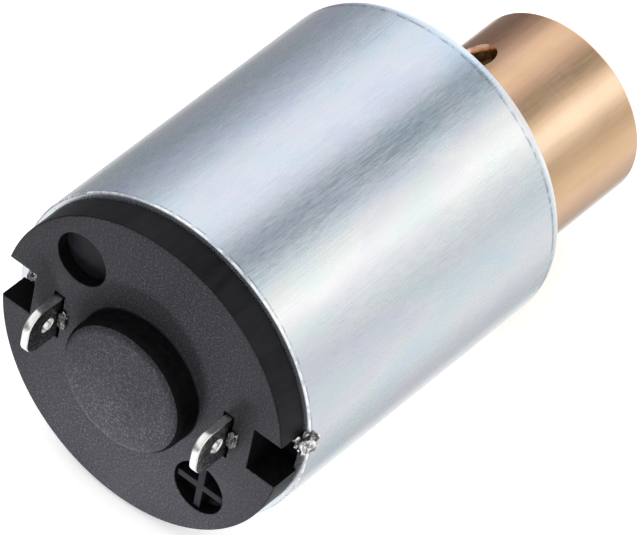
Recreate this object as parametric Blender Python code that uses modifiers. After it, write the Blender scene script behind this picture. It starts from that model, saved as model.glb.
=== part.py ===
"""A cylindrical brushed vibration motor, built piece by piece.

Frame: the motor lies along X. The origin is on the shaft's axis, in the plane of the can's front face.
+X runs along the shaft towards the eccentric weight, the solder terminals are on -Y and +Y, and +Z is up.
All sizes are in metres. x is a place along the shaft, and r is a distance from it.
"""

from math import asin, cos, pi, radians, sin, sqrt

import bmesh
import bpy
from mathutils import Matrix, Vector

# ---- Driving dimensions ----

# Can: a deep-drawn steel cup, open at the rear
CAN_RADIUS = 0.0122
CAN_LENGTH = 0.0270
CAN_WALL = 0.00075
CAN_SHOULDER = 0.0010
CAN_INNER_CORNER = 0.0005
FRONT_BOSS_HEIGHT = 0.0015
FRONT_BOSS_WALL = 0.0007
FRONT_BOSS_END = 0.0006
MOUNT_HOLE_PITCH = 0.0170
MOUNT_HOLE_RADIUS = 0.0011

# Crimps: the can's rim staked into the end cap's notches, as a lump on -Y and as a tab bent inwards on +Y
CRIMP_WIDTH = 0.0017
CRIMP_BACK = 0.0012
CRIMP_FORWARD = 0.0009
CRIMP_OUT = 0.0004
TAB_WIDTH = 0.0012
TAB_BACK = 0.0003
TAB_FORWARD = 0.0007
TAB_FROM_FLOOR = 0.0005

# Shaft and bearings
SHAFT_RADIUS = 0.0010
SHAFT_SHORT_OF_WEIGHT = 0.0005
SHAFT_CHAMFER = 0.0002
FRONT_BEARING_RADIUS = 0.00235
FRONT_BEARING_LENGTH = 0.0022
REAR_BEARING_RADIUS = 0.0026
REAR_BEARING_LENGTH = 0.0030
THRUST_WASHER_RADIUS = 0.0019
THRUST_WASHER_THICKNESS = 0.00035

# End cap: moulded plastic, plugged into the can's rear
BAND_HEIGHT = 0.0024
BAND_STEP_IN = 0.0004
BAND_CHAMFER = 0.00015
FACE_THICKNESS = 0.0020
PLUG_DEPTH = 0.0036
PLUG_CHAMFER = 0.0003
REAR_BOSS_RADIUS = 0.0050
REAR_BOSS_HEIGHT = 0.0022
REAR_BOSS_END = 0.00075
REAR_BOSS_FILLET = 0.0008
NOTCH_DEPTH = 0.00245
NOTCH_LOW = -0.0015
NOTCH_HIGH = 0.0021
NOTCH_PAST_RIM = 0.0008
NOTCH_BACK_WALL = 0.00015
RECESS_RADIUS = 0.0020
RECESS_DEPTH = 0.0010
RECESS_FROM_RIM = 0.0032
PLUS_SHORT_OF_WALL = 0.0002
PLUS_WIDTH = 0.0006
PLUS_BELOW_FACE = 0.0002

# Terminals: tinned strips through the end cap
TERMINAL_THICKNESS = 0.0006
TERMINAL_WIDTH = 0.0035
TERMINAL_REACH = 0.0032
TERMINAL_TIP_RADIUS = 0.0013
TERMINAL_FROM_NOTCH = 0.0018
TERMINAL_INSIDE = 0.0038
EYELET_RADIUS = 0.00055
EYELET_HEIGHT = 0.0012
SLOT_LENGTH = 0.0038

# Brushes: leaf springs that press carbon blocks on the commutator
LEAF_THICKNESS = 0.0002
LEAF_WIDTH = 0.0026
LEAF_FOOT = 0.0012
HAIRPIN_GAP = 0.0010
BRUSH_WIDTH = 0.0020
BRUSH_HEIGHT = 0.0018
BRUSH_FROM_HUB = 0.0020
LEAF_TO_CHAMBER = 0.0003

# Commutator
COMMUTATOR_RADIUS = 0.00275
BAR_THICKNESS = 0.00065
BAR_LENGTH = 0.0042
BAR_SLIT = 0.0004
BAR_START = 0.0004
RISER_THICKNESS = 0.0005
RISER_LIP = 0.0001
RISER_RADIUS = 0.0044
RISER_WIDTH = 0.0010
HUB_FLANGE_LENGTH = 0.0009
VARISTOR_WALL = 0.0020
VARISTOR_THICKNESS = 0.0008

# Armature and field
POLES = 3
AIR_GAP = 0.00035
POLE_SHOE = 0.0011
POLE_SPAN = radians(100)
POLE_NECK = 0.0032
CORE_HUB_RADIUS = 0.0032
INSULATOR_THICKNESS = 0.0006
COIL_THICKNESS = 0.0015
HUB_TO_COIL = 0.0003
FRONT_COIL_CLEARANCE = 0.0020
MAGNET_THICKNESS = 0.0030
MAGNET_HALF_SPAN = radians(62)
MAGNET_OVERHANG = 0.0015
SPRING_WIRE = 0.0004
SPRING_EDGE_GAP = 0.0003

# Eccentric weight
WEIGHT_RADIUS = 0.0071
WEIGHT_LENGTH = 0.0121
WEIGHT_OFFSET = 0.00345
WEIGHT_HEAVY_SIDE = radians(243)
WEIGHT_STAND_OFF = 0.0019
WEIGHT_CHAMFER = 0.00025
STAKE_FROM_BACK = 0.0057
STAKE_SIDE = radians(57)
STAKE_RADIUS = 0.00155
STAKE_FLOOR = 0.0010
STAKE_CONE = 0.0005

# Clearances
SEAT_GAP = 0.00005
PRESS_GAP = 0.00005
RUNNING_GAP = 0.00003
END_PLAY = 0.0001
LOOSE_GAP = 0.0001
SLOT_GAP = 0.0001

# Facets round each turned piece
OUTER_STEPS = 64
INNER_STEPS = 32

# ---- Sizes that follow from them ----

CAN_BORE = CAN_RADIUS - CAN_WALL
RIM_X = -CAN_LENGTH
FRONT_POCKET = FRONT_BEARING_RADIUS + SEAT_GAP
FRONT_BOSS_RADIUS = FRONT_POCKET + FRONT_BOSS_WALL
SHAFT_HOLE = SHAFT_RADIUS + 3 * LOOSE_GAP

BAND_RADIUS = CAN_RADIUS - BAND_STEP_IN
PLUG_RADIUS = CAN_BORE - SEAT_GAP
CAP_FACE = RIM_X - BAND_HEIGHT
CHAMBER_FLOOR = CAP_FACE + FACE_THICKNESS
PLUG_FRONT = RIM_X + PLUG_DEPTH
NOTCH_FLOOR = BAND_RADIUS - NOTCH_DEPTH
CHAMBER_RADIUS = NOTCH_FLOOR - NOTCH_BACK_WALL
REAR_BOSS_TOP = CAP_FACE - REAR_BOSS_HEIGHT
REAR_POCKET = REAR_BEARING_RADIUS + SEAT_GAP
REAR_POCKET_FLOOR = REAR_BOSS_TOP + REAR_BOSS_END
RECESS_FROM_AXIS = BAND_RADIUS - RECESS_FROM_RIM

FRONT_BEARING_FRONT = FRONT_BOSS_HEIGHT - FRONT_BOSS_END - SEAT_GAP
FRONT_BEARING_REAR = FRONT_BEARING_FRONT - FRONT_BEARING_LENGTH
REAR_BEARING_REAR = REAR_POCKET_FLOOR + SEAT_GAP
REAR_BEARING_FRONT = REAR_BEARING_REAR + REAR_BEARING_LENGTH
SHAFT_REAR = REAR_POCKET_FLOOR + END_PLAY
WEIGHT_BACK = WEIGHT_STAND_OFF
WEIGHT_FRONT = WEIGHT_BACK + WEIGHT_LENGTH
SHAFT_FRONT = WEIGHT_FRONT - SHAFT_SHORT_OF_WEIGHT

REAR_WASHER_REAR = REAR_BEARING_FRONT + END_PLAY
REAR_WASHER_FRONT = REAR_WASHER_REAR + THRUST_WASHER_THICKNESS
HUB_REAR = REAR_WASHER_FRONT + END_PLAY
BAR_REAR = HUB_REAR + BAR_START
BAR_FRONT = BAR_REAR + BAR_LENGTH
RISER_FRONT = BAR_FRONT + RISER_THICKNESS
BAR_END = RISER_FRONT + RISER_LIP
FLANGE_REAR = BAR_END + SEAT_GAP
HUB_FRONT = FLANGE_REAR + HUB_FLANGE_LENGTH
BAR_SEAT = COMMUTATOR_RADIUS - BAR_THICKNESS
HUB_RADIUS = BAR_SEAT - PRESS_GAP
VARISTOR_BORE = COMMUTATOR_RADIUS + PRESS_GAP

FRONT_WASHER_FRONT = FRONT_BEARING_REAR - END_PLAY
FRONT_WASHER_REAR = FRONT_WASHER_FRONT - THRUST_WASHER_THICKNESS
COIL_OVERHANG = INSULATOR_THICKNESS + COIL_THICKNESS + 2 * PRESS_GAP
CORE_REAR = HUB_FRONT + HUB_TO_COIL + COIL_OVERHANG
CORE_FRONT = -CAN_WALL - FRONT_COIL_CLEARANCE - COIL_OVERHANG
CORE_LENGTH = CORE_FRONT - CORE_REAR
CORE_MIDDLE = (CORE_FRONT + CORE_REAR) / 2
MAGNET_OUTER = CAN_BORE - SEAT_GAP
MAGNET_INNER = MAGNET_OUTER - MAGNET_THICKNESS
ARMATURE_RADIUS = MAGNET_INNER - AIR_GAP
SHOE_INNER = ARMATURE_RADIUS - POLE_SHOE

TERMINAL_Y = NOTCH_FLOOR - TERMINAL_FROM_NOTCH - TERMINAL_THICKNESS / 2
TERMINAL_TIP = CAP_FACE - TERMINAL_REACH
TERMINAL_FRONT = CHAMBER_FLOOR + TERMINAL_INSIDE
LEAF_OUTER = TERMINAL_Y - TERMINAL_THICKNESS / 2 - PRESS_GAP
ARM_OUTER = LEAF_OUTER - LEAF_THICKNESS - HAIRPIN_GAP
ARM_INNER = ARM_OUTER - LEAF_THICKNESS
LEAF_TOP = sqrt((CHAMBER_RADIUS - LEAF_TO_CHAMBER) ** 2 - LEAF_OUTER**2)
ARM_TOP = LEAF_TOP - LEAF_THICKNESS - LOOSE_GAP
BRUSH_MIDDLE = HUB_REAR + BRUSH_FROM_HUB
HINGE_Y = (ARM_OUTER + ARM_INNER) / 2

WEIGHT_TOWARDS = Vector((0, cos(WEIGHT_HEAVY_SIDE), sin(WEIGHT_HEAVY_SIDE)))
WEIGHT_CENTRE = WEIGHT_TOWARDS * WEIGHT_OFFSET
WEIGHT_BORE = SHAFT_RADIUS + PRESS_GAP
STAKE_BOTTOM = WEIGHT_BORE + STAKE_FLOOR
STAKE_X = WEIGHT_BACK + STAKE_FROM_BACK

# +X of the motor is +Z of a turned piece or of a plate cut across the shaft
ALONG_SHAFT = Matrix.Rotation(pi / 2, 4, "Y")
# +Y of the motor is +Z of a plate cut across the terminals
ACROSS_TERMINALS = Matrix.Rotation(-pi / 2, 4, "X")


# ---- Helpers ----


def clear_scene():
    """Removes whatever the scene held, with its data."""
    for thing in list(bpy.data.objects):
        bpy.data.objects.remove(thing, do_unlink=True)
    for group in list(bpy.data.collections):
        bpy.data.collections.remove(group)


def new_collection(name):
    group = bpy.data.collections.new(name)
    bpy.context.scene.collection.children.link(group)
    return group


def finish(name, colour, metallic, roughness):
    """A plain Principled material."""
    material = bpy.data.materials.new(name)
    material.use_nodes = True
    shader = material.node_tree.nodes["Principled BSDF"]
    shader.inputs["Base Color"].default_value = (*colour, 1)
    shader.inputs["Metallic"].default_value = metallic
    shader.inputs["Roughness"].default_value = roughness
    material.diffuse_color = (*colour, 1)
    return material


def empty(name, place):
    marker = bpy.data.objects.new(name, None)
    marker.empty_display_size = CAN_RADIUS / 2
    marker.location = place
    PARTS.objects.link(marker)
    return marker


def ring(radius, steps=INNER_STEPS):
    """Points (y, z) round the shaft, in step with the facets of the turned pieces."""
    return [(radius * cos(2 * pi * i / steps), radius * sin(2 * pi * i / steps)) for i in range(steps)]


def arc(centre, radius, start, end, count):
    """count + 1 points on an arc. centre is a pair, and the angles run from its first axis to its second."""
    turns = [start + (end - start) * i / count for i in range(count + 1)]
    return [(centre[0] + radius * cos(turn), centre[1] + radius * sin(turn)) for turn in turns]


def add(name, data, material, group=None):
    """A new object from a mesh or a curve, in the parts collection unless another is given."""
    thing = bpy.data.objects.new(name, data)
    if material:
        data.materials.append(material)
    (group or PARTS).objects.link(thing)
    return thing


def shade_round(mesh):
    """Smooth shading that keeps the corners sharp."""
    mesh.shade_smooth()
    mesh.set_sharp_from_angle(angle=radians(30))


def turned(name, profile, material, steps=INNER_STEPS, group=None):
    """Turns points (x, r) round the shaft. They run along the outside from front to rear.

    A profile that starts and ends on the shaft's axis stays open, and any other is closed into a loop.
    """
    mesh = bpy.data.meshes.new(name)
    points = [(r, 0, x) for x, r in profile]
    edges = [(i, i + 1) for i in range(len(points) - 1)]
    if profile[0][1] > 0:
        edges.append((len(points) - 1, 0))
    mesh.from_pydata(points, edges, [])
    thing = add(name, mesh, material, group)
    thing.matrix_world = ALONG_SHAFT
    spin = thing.modifiers.new("turn", "SCREW")
    spin.steps = steps
    spin.render_steps = steps
    spin.use_merge_vertices = True
    spin.merge_threshold = 1e-6
    spin.use_smooth_shade = True
    return thing


def tube(name, front, rear, outer, bore, material, steps=INNER_STEPS, group=None):
    """A ring between two places on the shaft."""
    return turned(name, [(front, bore), (front, outer), (rear, outer), (rear, bore)], material, steps, group)


def plate(name, loops, low, high, material, turn=ALONG_SHAFT, group=None):
    """A flat outline with its holes, given thickness from low to high along the motor's X or Y.

    The loops hold (y, z) points for a plate across the shaft, and (x, z) points for one across the terminals.
    """
    curve = bpy.data.curves.new(name, "CURVE")
    curve.dimensions = "2D"
    curve.fill_mode = "BOTH"
    curve.extrude = (high - low) / 2
    for loop in loops:
        spline = curve.splines.new("POLY")
        spline.use_cyclic_u = True
        spline.points.add(len(loop) - 1)
        for point, (first, z) in zip(spline.points, loop):
            point.co = (-z, first, 0, 1) if turn is ALONG_SHAFT else (first, -z, 0, 1)
    thing = add(name, curve, material, group)
    thing.matrix_world = Matrix.Translation(turn @ Vector((0, 0, (low + high) / 2))) @ turn
    return thing


def as_mesh(thing):
    """The same piece as a mesh with its caps welded, so that it can take a Boolean."""
    bpy.context.view_layer.update()
    evaluated = thing.evaluated_get(bpy.context.evaluated_depsgraph_get())
    mesh = bpy.data.meshes.new_from_object(evaluated)
    shape = bmesh.new()
    shape.from_mesh(mesh)
    bmesh.ops.remove_doubles(shape, verts=shape.verts, dist=1e-7)
    bmesh.ops.recalc_face_normals(shape, faces=shape.faces)
    shape.to_mesh(mesh)
    shape.free()
    shade_round(mesh)
    name = thing.name
    group = thing.users_collection[0]
    place = thing.matrix_world.copy()
    bpy.data.objects.remove(thing, do_unlink=True)
    thing = bpy.data.objects.new(name, mesh)
    thing.matrix_world = place
    group.objects.link(thing)
    return thing


def block(name, low, high, material=None, group=None):
    """A box between two corners."""
    shape = bmesh.new()
    bmesh.ops.create_cube(shape, size=1)
    bmesh.ops.scale(shape, vec=Vector(high) - Vector(low), verts=shape.verts)
    mesh = bpy.data.meshes.new(name)
    shape.to_mesh(mesh)
    shape.free()
    thing = add(name, mesh, material, group)
    thing.location = (Vector(high) + Vector(low)) / 2
    return thing


def drill(name, radius, depth, cone, steps=INNER_STEPS):
    """A drill standing on the origin: its tip of height cone at z = 0, its shank up to z = depth."""
    shape = bmesh.new()
    shank = bmesh.ops.create_cone(
        shape, cap_ends=True, segments=steps, radius1=radius, radius2=radius, depth=depth - cone
    )["verts"]
    bmesh.ops.translate(shape, vec=(0, 0, (depth + cone) / 2), verts=shank)
    if cone:
        base = [vert for vert in shape.verts if vert.co.z < (depth + cone) / 2]
        foot = next(face for face in shape.faces if all(vert in base for vert in face.verts))
        tip = bmesh.ops.poke(shape, faces=[foot])["verts"][0]
        tip.co.z = 0
    mesh = bpy.data.meshes.new(name)
    shape.to_mesh(mesh)
    shape.free()
    return add(name, mesh, None, CUTTERS)


def hide(tool):
    """Keeps a cutter, or a shape that is joined to a piece, out of the finished model."""
    tool.hide_render = True
    tool.display_type = "WIRE"


def shape_with(piece, tool, operation):
    hide(tool)
    step = piece.modifiers.new(tool.name, "BOOLEAN")
    step.operation = operation
    step.solver = "EXACT"
    step.object = tool


def cut(piece, tool):
    shape_with(piece, tool, "DIFFERENCE")


def join(piece, tool):
    shape_with(piece, tool, "UNION")


def hold(parent, *pieces):
    """Parents pieces to an empty on their joint's axis, without moving them."""
    bpy.context.view_layer.update()
    for piece in pieces:
        place = piece.matrix_world.copy()
        piece.parent = parent
        piece.matrix_parent_inverse = parent.matrix_world.inverted()
        piece.matrix_world = place


# ---- Stator ----


def make_can(zinc):
    """The drawn cup: a bearing boss in front, an open rim behind, and two crimps on the rim."""
    shoulder = arc((-CAN_SHOULDER, CAN_RADIUS - CAN_SHOULDER), CAN_SHOULDER, 0, pi / 2, 6)
    corner_r = CAN_BORE - CAN_INNER_CORNER
    corner = arc((-CAN_WALL - CAN_INNER_CORNER, corner_r), CAN_INNER_CORNER, pi / 2, 0, 3)
    pocket_end = FRONT_BOSS_HEIGHT - FRONT_BOSS_END
    boss_edge = FRONT_BOSS_END / 2
    profile = [
        (FRONT_BOSS_HEIGHT, SHAFT_HOLE),
        (FRONT_BOSS_HEIGHT, FRONT_BOSS_RADIUS - boss_edge),
        (FRONT_BOSS_HEIGHT - boss_edge, FRONT_BOSS_RADIUS),
        (0, FRONT_BOSS_RADIUS),
        *shoulder,
        (RIM_X, CAN_RADIUS),
        (RIM_X, CAN_BORE),
        *corner,
        (-CAN_WALL, FRONT_POCKET),
        (pocket_end, FRONT_POCKET),
        (pocket_end, SHAFT_HOLE),
    ]
    can = turned("can", profile, zinc, OUTER_STEPS)
    for side in (-1, 1):
        hole = drill(f"mount_hole_{'up' if side > 0 else 'down'}", MOUNT_HOLE_RADIUS, 4 * CAN_WALL, 0, 24)
        hole.matrix_world = Matrix.Translation((-2 * CAN_WALL, 0, side * MOUNT_HOLE_PITCH / 2)) @ ALONG_SHAFT
        cut(can, hole)
    lump_top = NOTCH_HIGH - LOOSE_GAP
    lump_low = (RIM_X - CRIMP_BACK, -CAN_RADIUS - CRIMP_OUT, lump_top - CRIMP_WIDTH)
    lump_high = (RIM_X + CRIMP_FORWARD, CAN_WALL / 2 - CAN_BORE, lump_top)
    tab_bottom = NOTCH_LOW + LOOSE_GAP
    tab_low = (RIM_X - TAB_BACK, NOTCH_FLOOR + TAB_FROM_FLOOR, tab_bottom)
    tab_high = (RIM_X + TAB_FORWARD, CAN_BORE + CAN_WALL / 2, tab_bottom + TAB_WIDTH)
    for name, low, high in (("crimp_lump", lump_low, lump_high), ("crimp_tab", tab_low, tab_high)):
        crimp = block(name, low, high, group=CUTTERS)
        round_off = crimp.modifiers.new("soften", "BEVEL")
        round_off.width = CAN_WALL / 2
        round_off.segments = 2
        join(can, crimp)
    return can


def make_end_cap(plastic):
    """The moulded cap: a proud band and boss outside, a plug and the brush chamber inside."""
    boss_edge = arc(
        (REAR_BOSS_TOP + REAR_BOSS_FILLET, REAR_BOSS_RADIUS - REAR_BOSS_FILLET), REAR_BOSS_FILLET, pi / 2, pi, 6
    )
    profile = [
        (REAR_POCKET_FLOOR, 0),
        (REAR_POCKET_FLOOR, REAR_POCKET),
        (CHAMBER_FLOOR, REAR_POCKET),
        (CHAMBER_FLOOR, CHAMBER_RADIUS),
        (PLUG_FRONT, CHAMBER_RADIUS),
        (PLUG_FRONT, PLUG_RADIUS - PLUG_CHAMFER),
        (PLUG_FRONT - PLUG_CHAMFER, PLUG_RADIUS),
        (RIM_X - SEAT_GAP, PLUG_RADIUS),
        (RIM_X - SEAT_GAP, BAND_RADIUS),
        (CAP_FACE + BAND_CHAMFER, BAND_RADIUS),
        (CAP_FACE, BAND_RADIUS - BAND_CHAMFER),
        (CAP_FACE, REAR_BOSS_RADIUS),
        *boss_edge,
        (REAR_BOSS_TOP, 0),
    ]
    cap = turned("end_cap", profile, plastic, OUTER_STEPS)
    for side, name in ((-1, "positive"), (1, "negative")):
        outer = sorted((side * NOTCH_FLOOR, side * 1.5 * CAN_RADIUS))
        notch = block(
            f"notch_{name}",
            (CAP_FACE - CAN_WALL, outer[0], NOTCH_LOW),
            (RIM_X + NOTCH_PAST_RIM, outer[1], NOTCH_HIGH),
            group=CUTTERS,
        )
        cut(cap, notch)
        half = TERMINAL_THICKNESS / 2 + SLOT_GAP
        slot = block(
            f"slot_{name}",
            (CAP_FACE - CAN_WALL, side * TERMINAL_Y - half, -SLOT_LENGTH / 2),
            (CHAMBER_FLOOR + CAN_WALL, side * TERMINAL_Y + half, SLOT_LENGTH / 2),
            group=CUTTERS,
        )
        cut(cap, slot)
        middle = side * RECESS_FROM_AXIS / sqrt(2)
        recess = drill(f"recess_{name}", RECESS_RADIUS, 2 * RECESS_DEPTH, 0)
        recess.matrix_world = Matrix.Translation((CAP_FACE - RECESS_DEPTH, middle, middle)) @ ALONG_SHAFT
        cut(cap, recess)
    middle = -RECESS_FROM_AXIS / sqrt(2)
    reach = RECESS_RADIUS - PLUS_SHORT_OF_WALL
    for name, across, up in (("level", reach, PLUS_WIDTH / 2), ("upright", PLUS_WIDTH / 2, reach)):
        bar = block(
            f"plus_bar_{name}",
            (CAP_FACE + PLUS_BELOW_FACE, middle - across, middle - up),
            (CAP_FACE + RECESS_DEPTH + PLUS_BELOW_FACE, middle + across, middle + up),
            group=CUTTERS,
        )
        join(cap, bar)
    return cap


def make_magnet(name, side, ferrite):
    """One arc magnet, centred on side * Z."""
    middle = side * pi / 2
    outer = arc((0, 0), MAGNET_OUTER, middle - MAGNET_HALF_SPAN, middle + MAGNET_HALF_SPAN, 22)
    inner = arc((0, 0), MAGNET_INNER, middle + MAGNET_HALF_SPAN, middle - MAGNET_HALF_SPAN, 22)
    return plate(name, [outer + inner], CORE_REAR - MAGNET_OVERHANG, CORE_FRONT + MAGNET_OVERHANG, ferrite)


def make_magnet_spring(name, side, steel):
    """A U of spring wire between the magnets' edges, which pushes them apart against the can."""
    wire_r = (MAGNET_OUTER + MAGNET_INNER) / 2
    edge = pi / 2 - MAGNET_HALF_SPAN
    lean = edge - asin((SPRING_WIRE + SPRING_EDGE_GAP) / wire_r)
    half = wire_r * sin(lean)
    y = side * wire_r * cos(lean)
    rear = CORE_REAR
    front = CORE_FRONT - half
    path = [(rear, half), *[(front + half * sin(t), half * cos(t)) for t in (pi * i / 10 for i in range(11))]]
    path.append((rear, -half))
    curve = bpy.data.curves.new(name, "CURVE")
    curve.dimensions = "3D"
    curve.bevel_depth = SPRING_WIRE
    curve.bevel_resolution = 2
    curve.use_fill_caps = True
    spline = curve.splines.new("POLY")
    spline.points.add(len(path) - 1)
    for point, (x, z) in zip(spline.points, path):
        point.co = (x, y, z, 1)
    return add(name, curve, steel)


def make_terminal(name, side, tin):
    """A strip through the end cap, with a rounded tip and an eyelet for the lead."""
    half = TERMINAL_WIDTH / 2
    corner = half - TERMINAL_TIP_RADIUS
    tip = TERMINAL_TIP + TERMINAL_TIP_RADIUS
    outline = [
        (TERMINAL_FRONT, -half),
        (TERMINAL_FRONT, half),
        *arc((tip, corner), TERMINAL_TIP_RADIUS, pi / 2, pi, 6),
        *arc((tip, -corner), TERMINAL_TIP_RADIUS, pi, 3 * pi / 2, 6),
    ]
    eyelet = arc((CAP_FACE - EYELET_HEIGHT, 0), EYELET_RADIUS, 0, 2 * pi, 16)[:-1]
    middle = side * TERMINAL_Y
    low = middle - TERMINAL_THICKNESS / 2
    return plate(name, [outline, eyelet], low, low + TERMINAL_THICKNESS, tin, ACROSS_TERMINALS)


def make_brush_foot(name, side, bronze):
    """The fixed half of a brush's hairpin, riveted to the terminal's inner end."""
    loop = [
        (LEAF_OUTER, -LEAF_FOOT),
        (LEAF_OUTER, LEAF_TOP),
        (ARM_INNER, LEAF_TOP),
        (ARM_INNER, LEAF_TOP - LEAF_THICKNESS),
        (LEAF_OUTER - LEAF_THICKNESS, LEAF_TOP - LEAF_THICKNESS),
        (LEAF_OUTER - LEAF_THICKNESS, -LEAF_FOOT),
    ]
    loop = [(side * y, -side * z) for y, z in loop]
    return plate(name, [loop], BRUSH_MIDDLE - LEAF_WIDTH / 2, BRUSH_MIDDLE + LEAF_WIDTH / 2, bronze)


def make_brush_arm(name, side, bronze):
    """The moving half of the hairpin, from the fold down past the commutator."""
    low = -BRUSH_HEIGHT / 2 - LEAF_THICKNESS
    loop = [(ARM_OUTER, low), (ARM_OUTER, ARM_TOP), (ARM_INNER, ARM_TOP), (ARM_INNER, low)]
    loop = [(side * y, -side * z) for y, z in loop]
    return plate(name, [loop], BRUSH_MIDDLE - LEAF_WIDTH / 2, BRUSH_MIDDLE + LEAF_WIDTH / 2, bronze)


def make_carbon_brush(name, side, carbon):
    """A carbon block whose end is hollowed to the commutator's curve."""
    half = BRUSH_HEIGHT / 2
    face_r = COMMUTATOR_RADIUS + PRESS_GAP
    bite = asin(half / face_r)
    back = ARM_INNER - PRESS_GAP
    loop = [(back, -half), (back, half), *arc((0, 0), face_r, bite, -bite, 8)]
    loop = [(side * y, -side * z) for y, z in loop]
    return plate(name, [loop], BRUSH_MIDDLE - BRUSH_WIDTH / 2, BRUSH_MIDDLE + BRUSH_WIDTH / 2, carbon)


# ---- Rotor ----


def make_shaft(steel):
    profile = [
        (SHAFT_FRONT, 0),
        (SHAFT_FRONT, SHAFT_RADIUS - SHAFT_CHAMFER),
        (SHAFT_FRONT - SHAFT_CHAMFER, SHAFT_RADIUS),
        (SHAFT_REAR + SHAFT_CHAMFER, SHAFT_RADIUS),
        (SHAFT_REAR, SHAFT_RADIUS - SHAFT_CHAMFER),
        (SHAFT_REAR, 0),
    ]
    return turned("shaft", profile, steel)


def core_outline(shrink):
    """The outline of a lamination with one tee-shaped pole each 120 degrees, shrunk by a margin."""
    outer = ARMATURE_RADIUS - shrink
    inner = SHOE_INNER + shrink
    neck = POLE_NECK / 2 - shrink
    hub = CORE_HUB_RADIUS - shrink
    half_span = POLE_SPAN / 2 - shrink / outer
    loop = []
    for pole in range(POLES):
        middle = 2 * pi * pole / POLES + pi / 2
        neck_in = asin(neck / hub)
        neck_out = asin(neck / inner)
        loop += arc((0, 0), outer, middle - half_span, middle + half_span, 12)
        loop += arc((0, 0), inner, middle + half_span, middle + neck_out, 4)
        loop += arc((0, 0), hub, middle + neck_in, middle + 2 * pi / POLES - neck_in, 4)
        loop += arc((0, 0), inner, middle + 2 * pi / POLES - neck_out, middle + 2 * pi / POLES - half_span, 4)
    return loop


def make_core_piece(name, low, high, shrink, material):
    """A slice of the armature: the iron stack, or an insulator on one of its ends."""
    return plate(name, [core_outline(shrink), ring(SHAFT_RADIUS + PRESS_GAP)], low, high, material)


def coil_loop(half_width, half_length, corner):
    """A rounded rectangle (across the pole, along the shaft) round the origin."""
    loop = []
    for sign_w, sign_l, start in ((1, 1, 0), (-1, 1, 90), (-1, -1, 180), (1, -1, 270)):
        centre = (sign_w * (half_width - corner), sign_l * (half_length - corner))
        loop += arc(centre, corner, radians(start), radians(start + 90), 3)
    return loop


def make_winding(name, pole, copper):
    """One coil of enamelled wire round a pole's neck, as the solid that its turns fill."""
    hole_width = POLE_NECK / 2 + PRESS_GAP
    hole_length = CORE_LENGTH / 2 + INSULATOR_THICKNESS + PRESS_GAP
    half_width = hole_width + COIL_THICKNESS
    half_length = hole_length + COIL_THICKNESS
    low = CORE_HUB_RADIUS + PRESS_GAP
    high = sqrt((SHOE_INNER - PRESS_GAP) ** 2 - half_width**2)
    curve = bpy.data.curves.new(name, "CURVE")
    curve.dimensions = "2D"
    curve.fill_mode = "BOTH"
    curve.extrude = (high - low) / 2
    outer_loop = coil_loop(half_width, half_length, COIL_THICKNESS)
    hole_loop = coil_loop(hole_width, hole_length, PRESS_GAP)
    for loop in (outer_loop, hole_loop):
        spline = curve.splines.new("POLY")
        spline.use_cyclic_u = True
        spline.points.add(len(loop) - 1)
        for point, (across, along) in zip(spline.points, loop):
            point.co = (along, across, 0, 1)
    coil = add(name, curve, copper)
    lift = Matrix.Translation((CORE_MIDDLE, 0, (low + high) / 2))
    coil.matrix_world = Matrix.Rotation(2 * pi * pole / POLES, 4, "X") @ lift
    return coil


def make_commutator_hub(plastic):
    profile = [
        (HUB_FRONT, SHAFT_RADIUS + PRESS_GAP),
        (HUB_FRONT, COMMUTATOR_RADIUS),
        (FLANGE_REAR, COMMUTATOR_RADIUS),
        (FLANGE_REAR, HUB_RADIUS),
        (HUB_REAR, HUB_RADIUS),
        (HUB_REAR, SHAFT_RADIUS + PRESS_GAP),
    ]
    return turned("commutator_hub", profile, plastic)


def make_commutator_bar(name, bar, copper):
    """One copper segment with the riser that its winding's wire is hooked on."""
    middle = 2 * pi * bar / POLES + pi / 2 + pi / POLES
    half = pi / POLES - BAR_SLIT / 2 / COMMUTATOR_RADIUS
    outer = arc((0, 0), COMMUTATOR_RADIUS, middle - half, middle + half, 9)
    inner = arc((0, 0), BAR_SEAT, middle + half, middle - half, 9)
    piece = as_mesh(plate(name, [outer + inner], BAR_REAR, BAR_END, copper))
    riser = block(
        f"{name}_riser",
        (BAR_FRONT, BAR_SEAT + BAR_THICKNESS / 2, -RISER_WIDTH / 2),
        (RISER_FRONT, RISER_RADIUS, RISER_WIDTH / 2),
        group=CUTTERS,
    )
    riser.matrix_world = Matrix.Rotation(middle, 4, "X") @ riser.matrix_basis
    join(piece, riser)
    return piece


def make_weight(brass):
    """The eccentric cylinder, bored on the shaft's axis and staked close to its thinnest wall."""
    chamfer = WEIGHT_CHAMFER
    profile = [
        (WEIGHT_FRONT, 0),
        (WEIGHT_FRONT, WEIGHT_RADIUS - chamfer),
        (WEIGHT_FRONT - chamfer, WEIGHT_RADIUS),
        (WEIGHT_BACK + chamfer, WEIGHT_RADIUS),
        (WEIGHT_BACK, WEIGHT_RADIUS - chamfer),
        (WEIGHT_BACK, 0),
    ]
    weight = turned("eccentric_weight", profile, brass, OUTER_STEPS)
    weight.matrix_world = Matrix.Translation(WEIGHT_CENTRE) @ ALONG_SHAFT
    bore_tool = drill("weight_bore", WEIGHT_BORE, 2 * WEIGHT_LENGTH, 0)
    bore_tool.matrix_world = Matrix.Translation((WEIGHT_BACK - WEIGHT_LENGTH / 2, 0, 0)) @ ALONG_SHAFT
    cut(weight, bore_tool)
    stake = drill("weight_stake", STAKE_RADIUS, WEIGHT_RADIUS, STAKE_CONE)
    outwards = Matrix.Rotation(STAKE_SIDE - pi / 2, 4, "X")
    start = Matrix.Translation((0, 0, STAKE_BOTTOM))
    stake.matrix_world = Matrix.Translation((STAKE_X, 0, 0)) @ outwards @ start
    cut(weight, stake)
    return weight


# ---- Assembly ----


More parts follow.
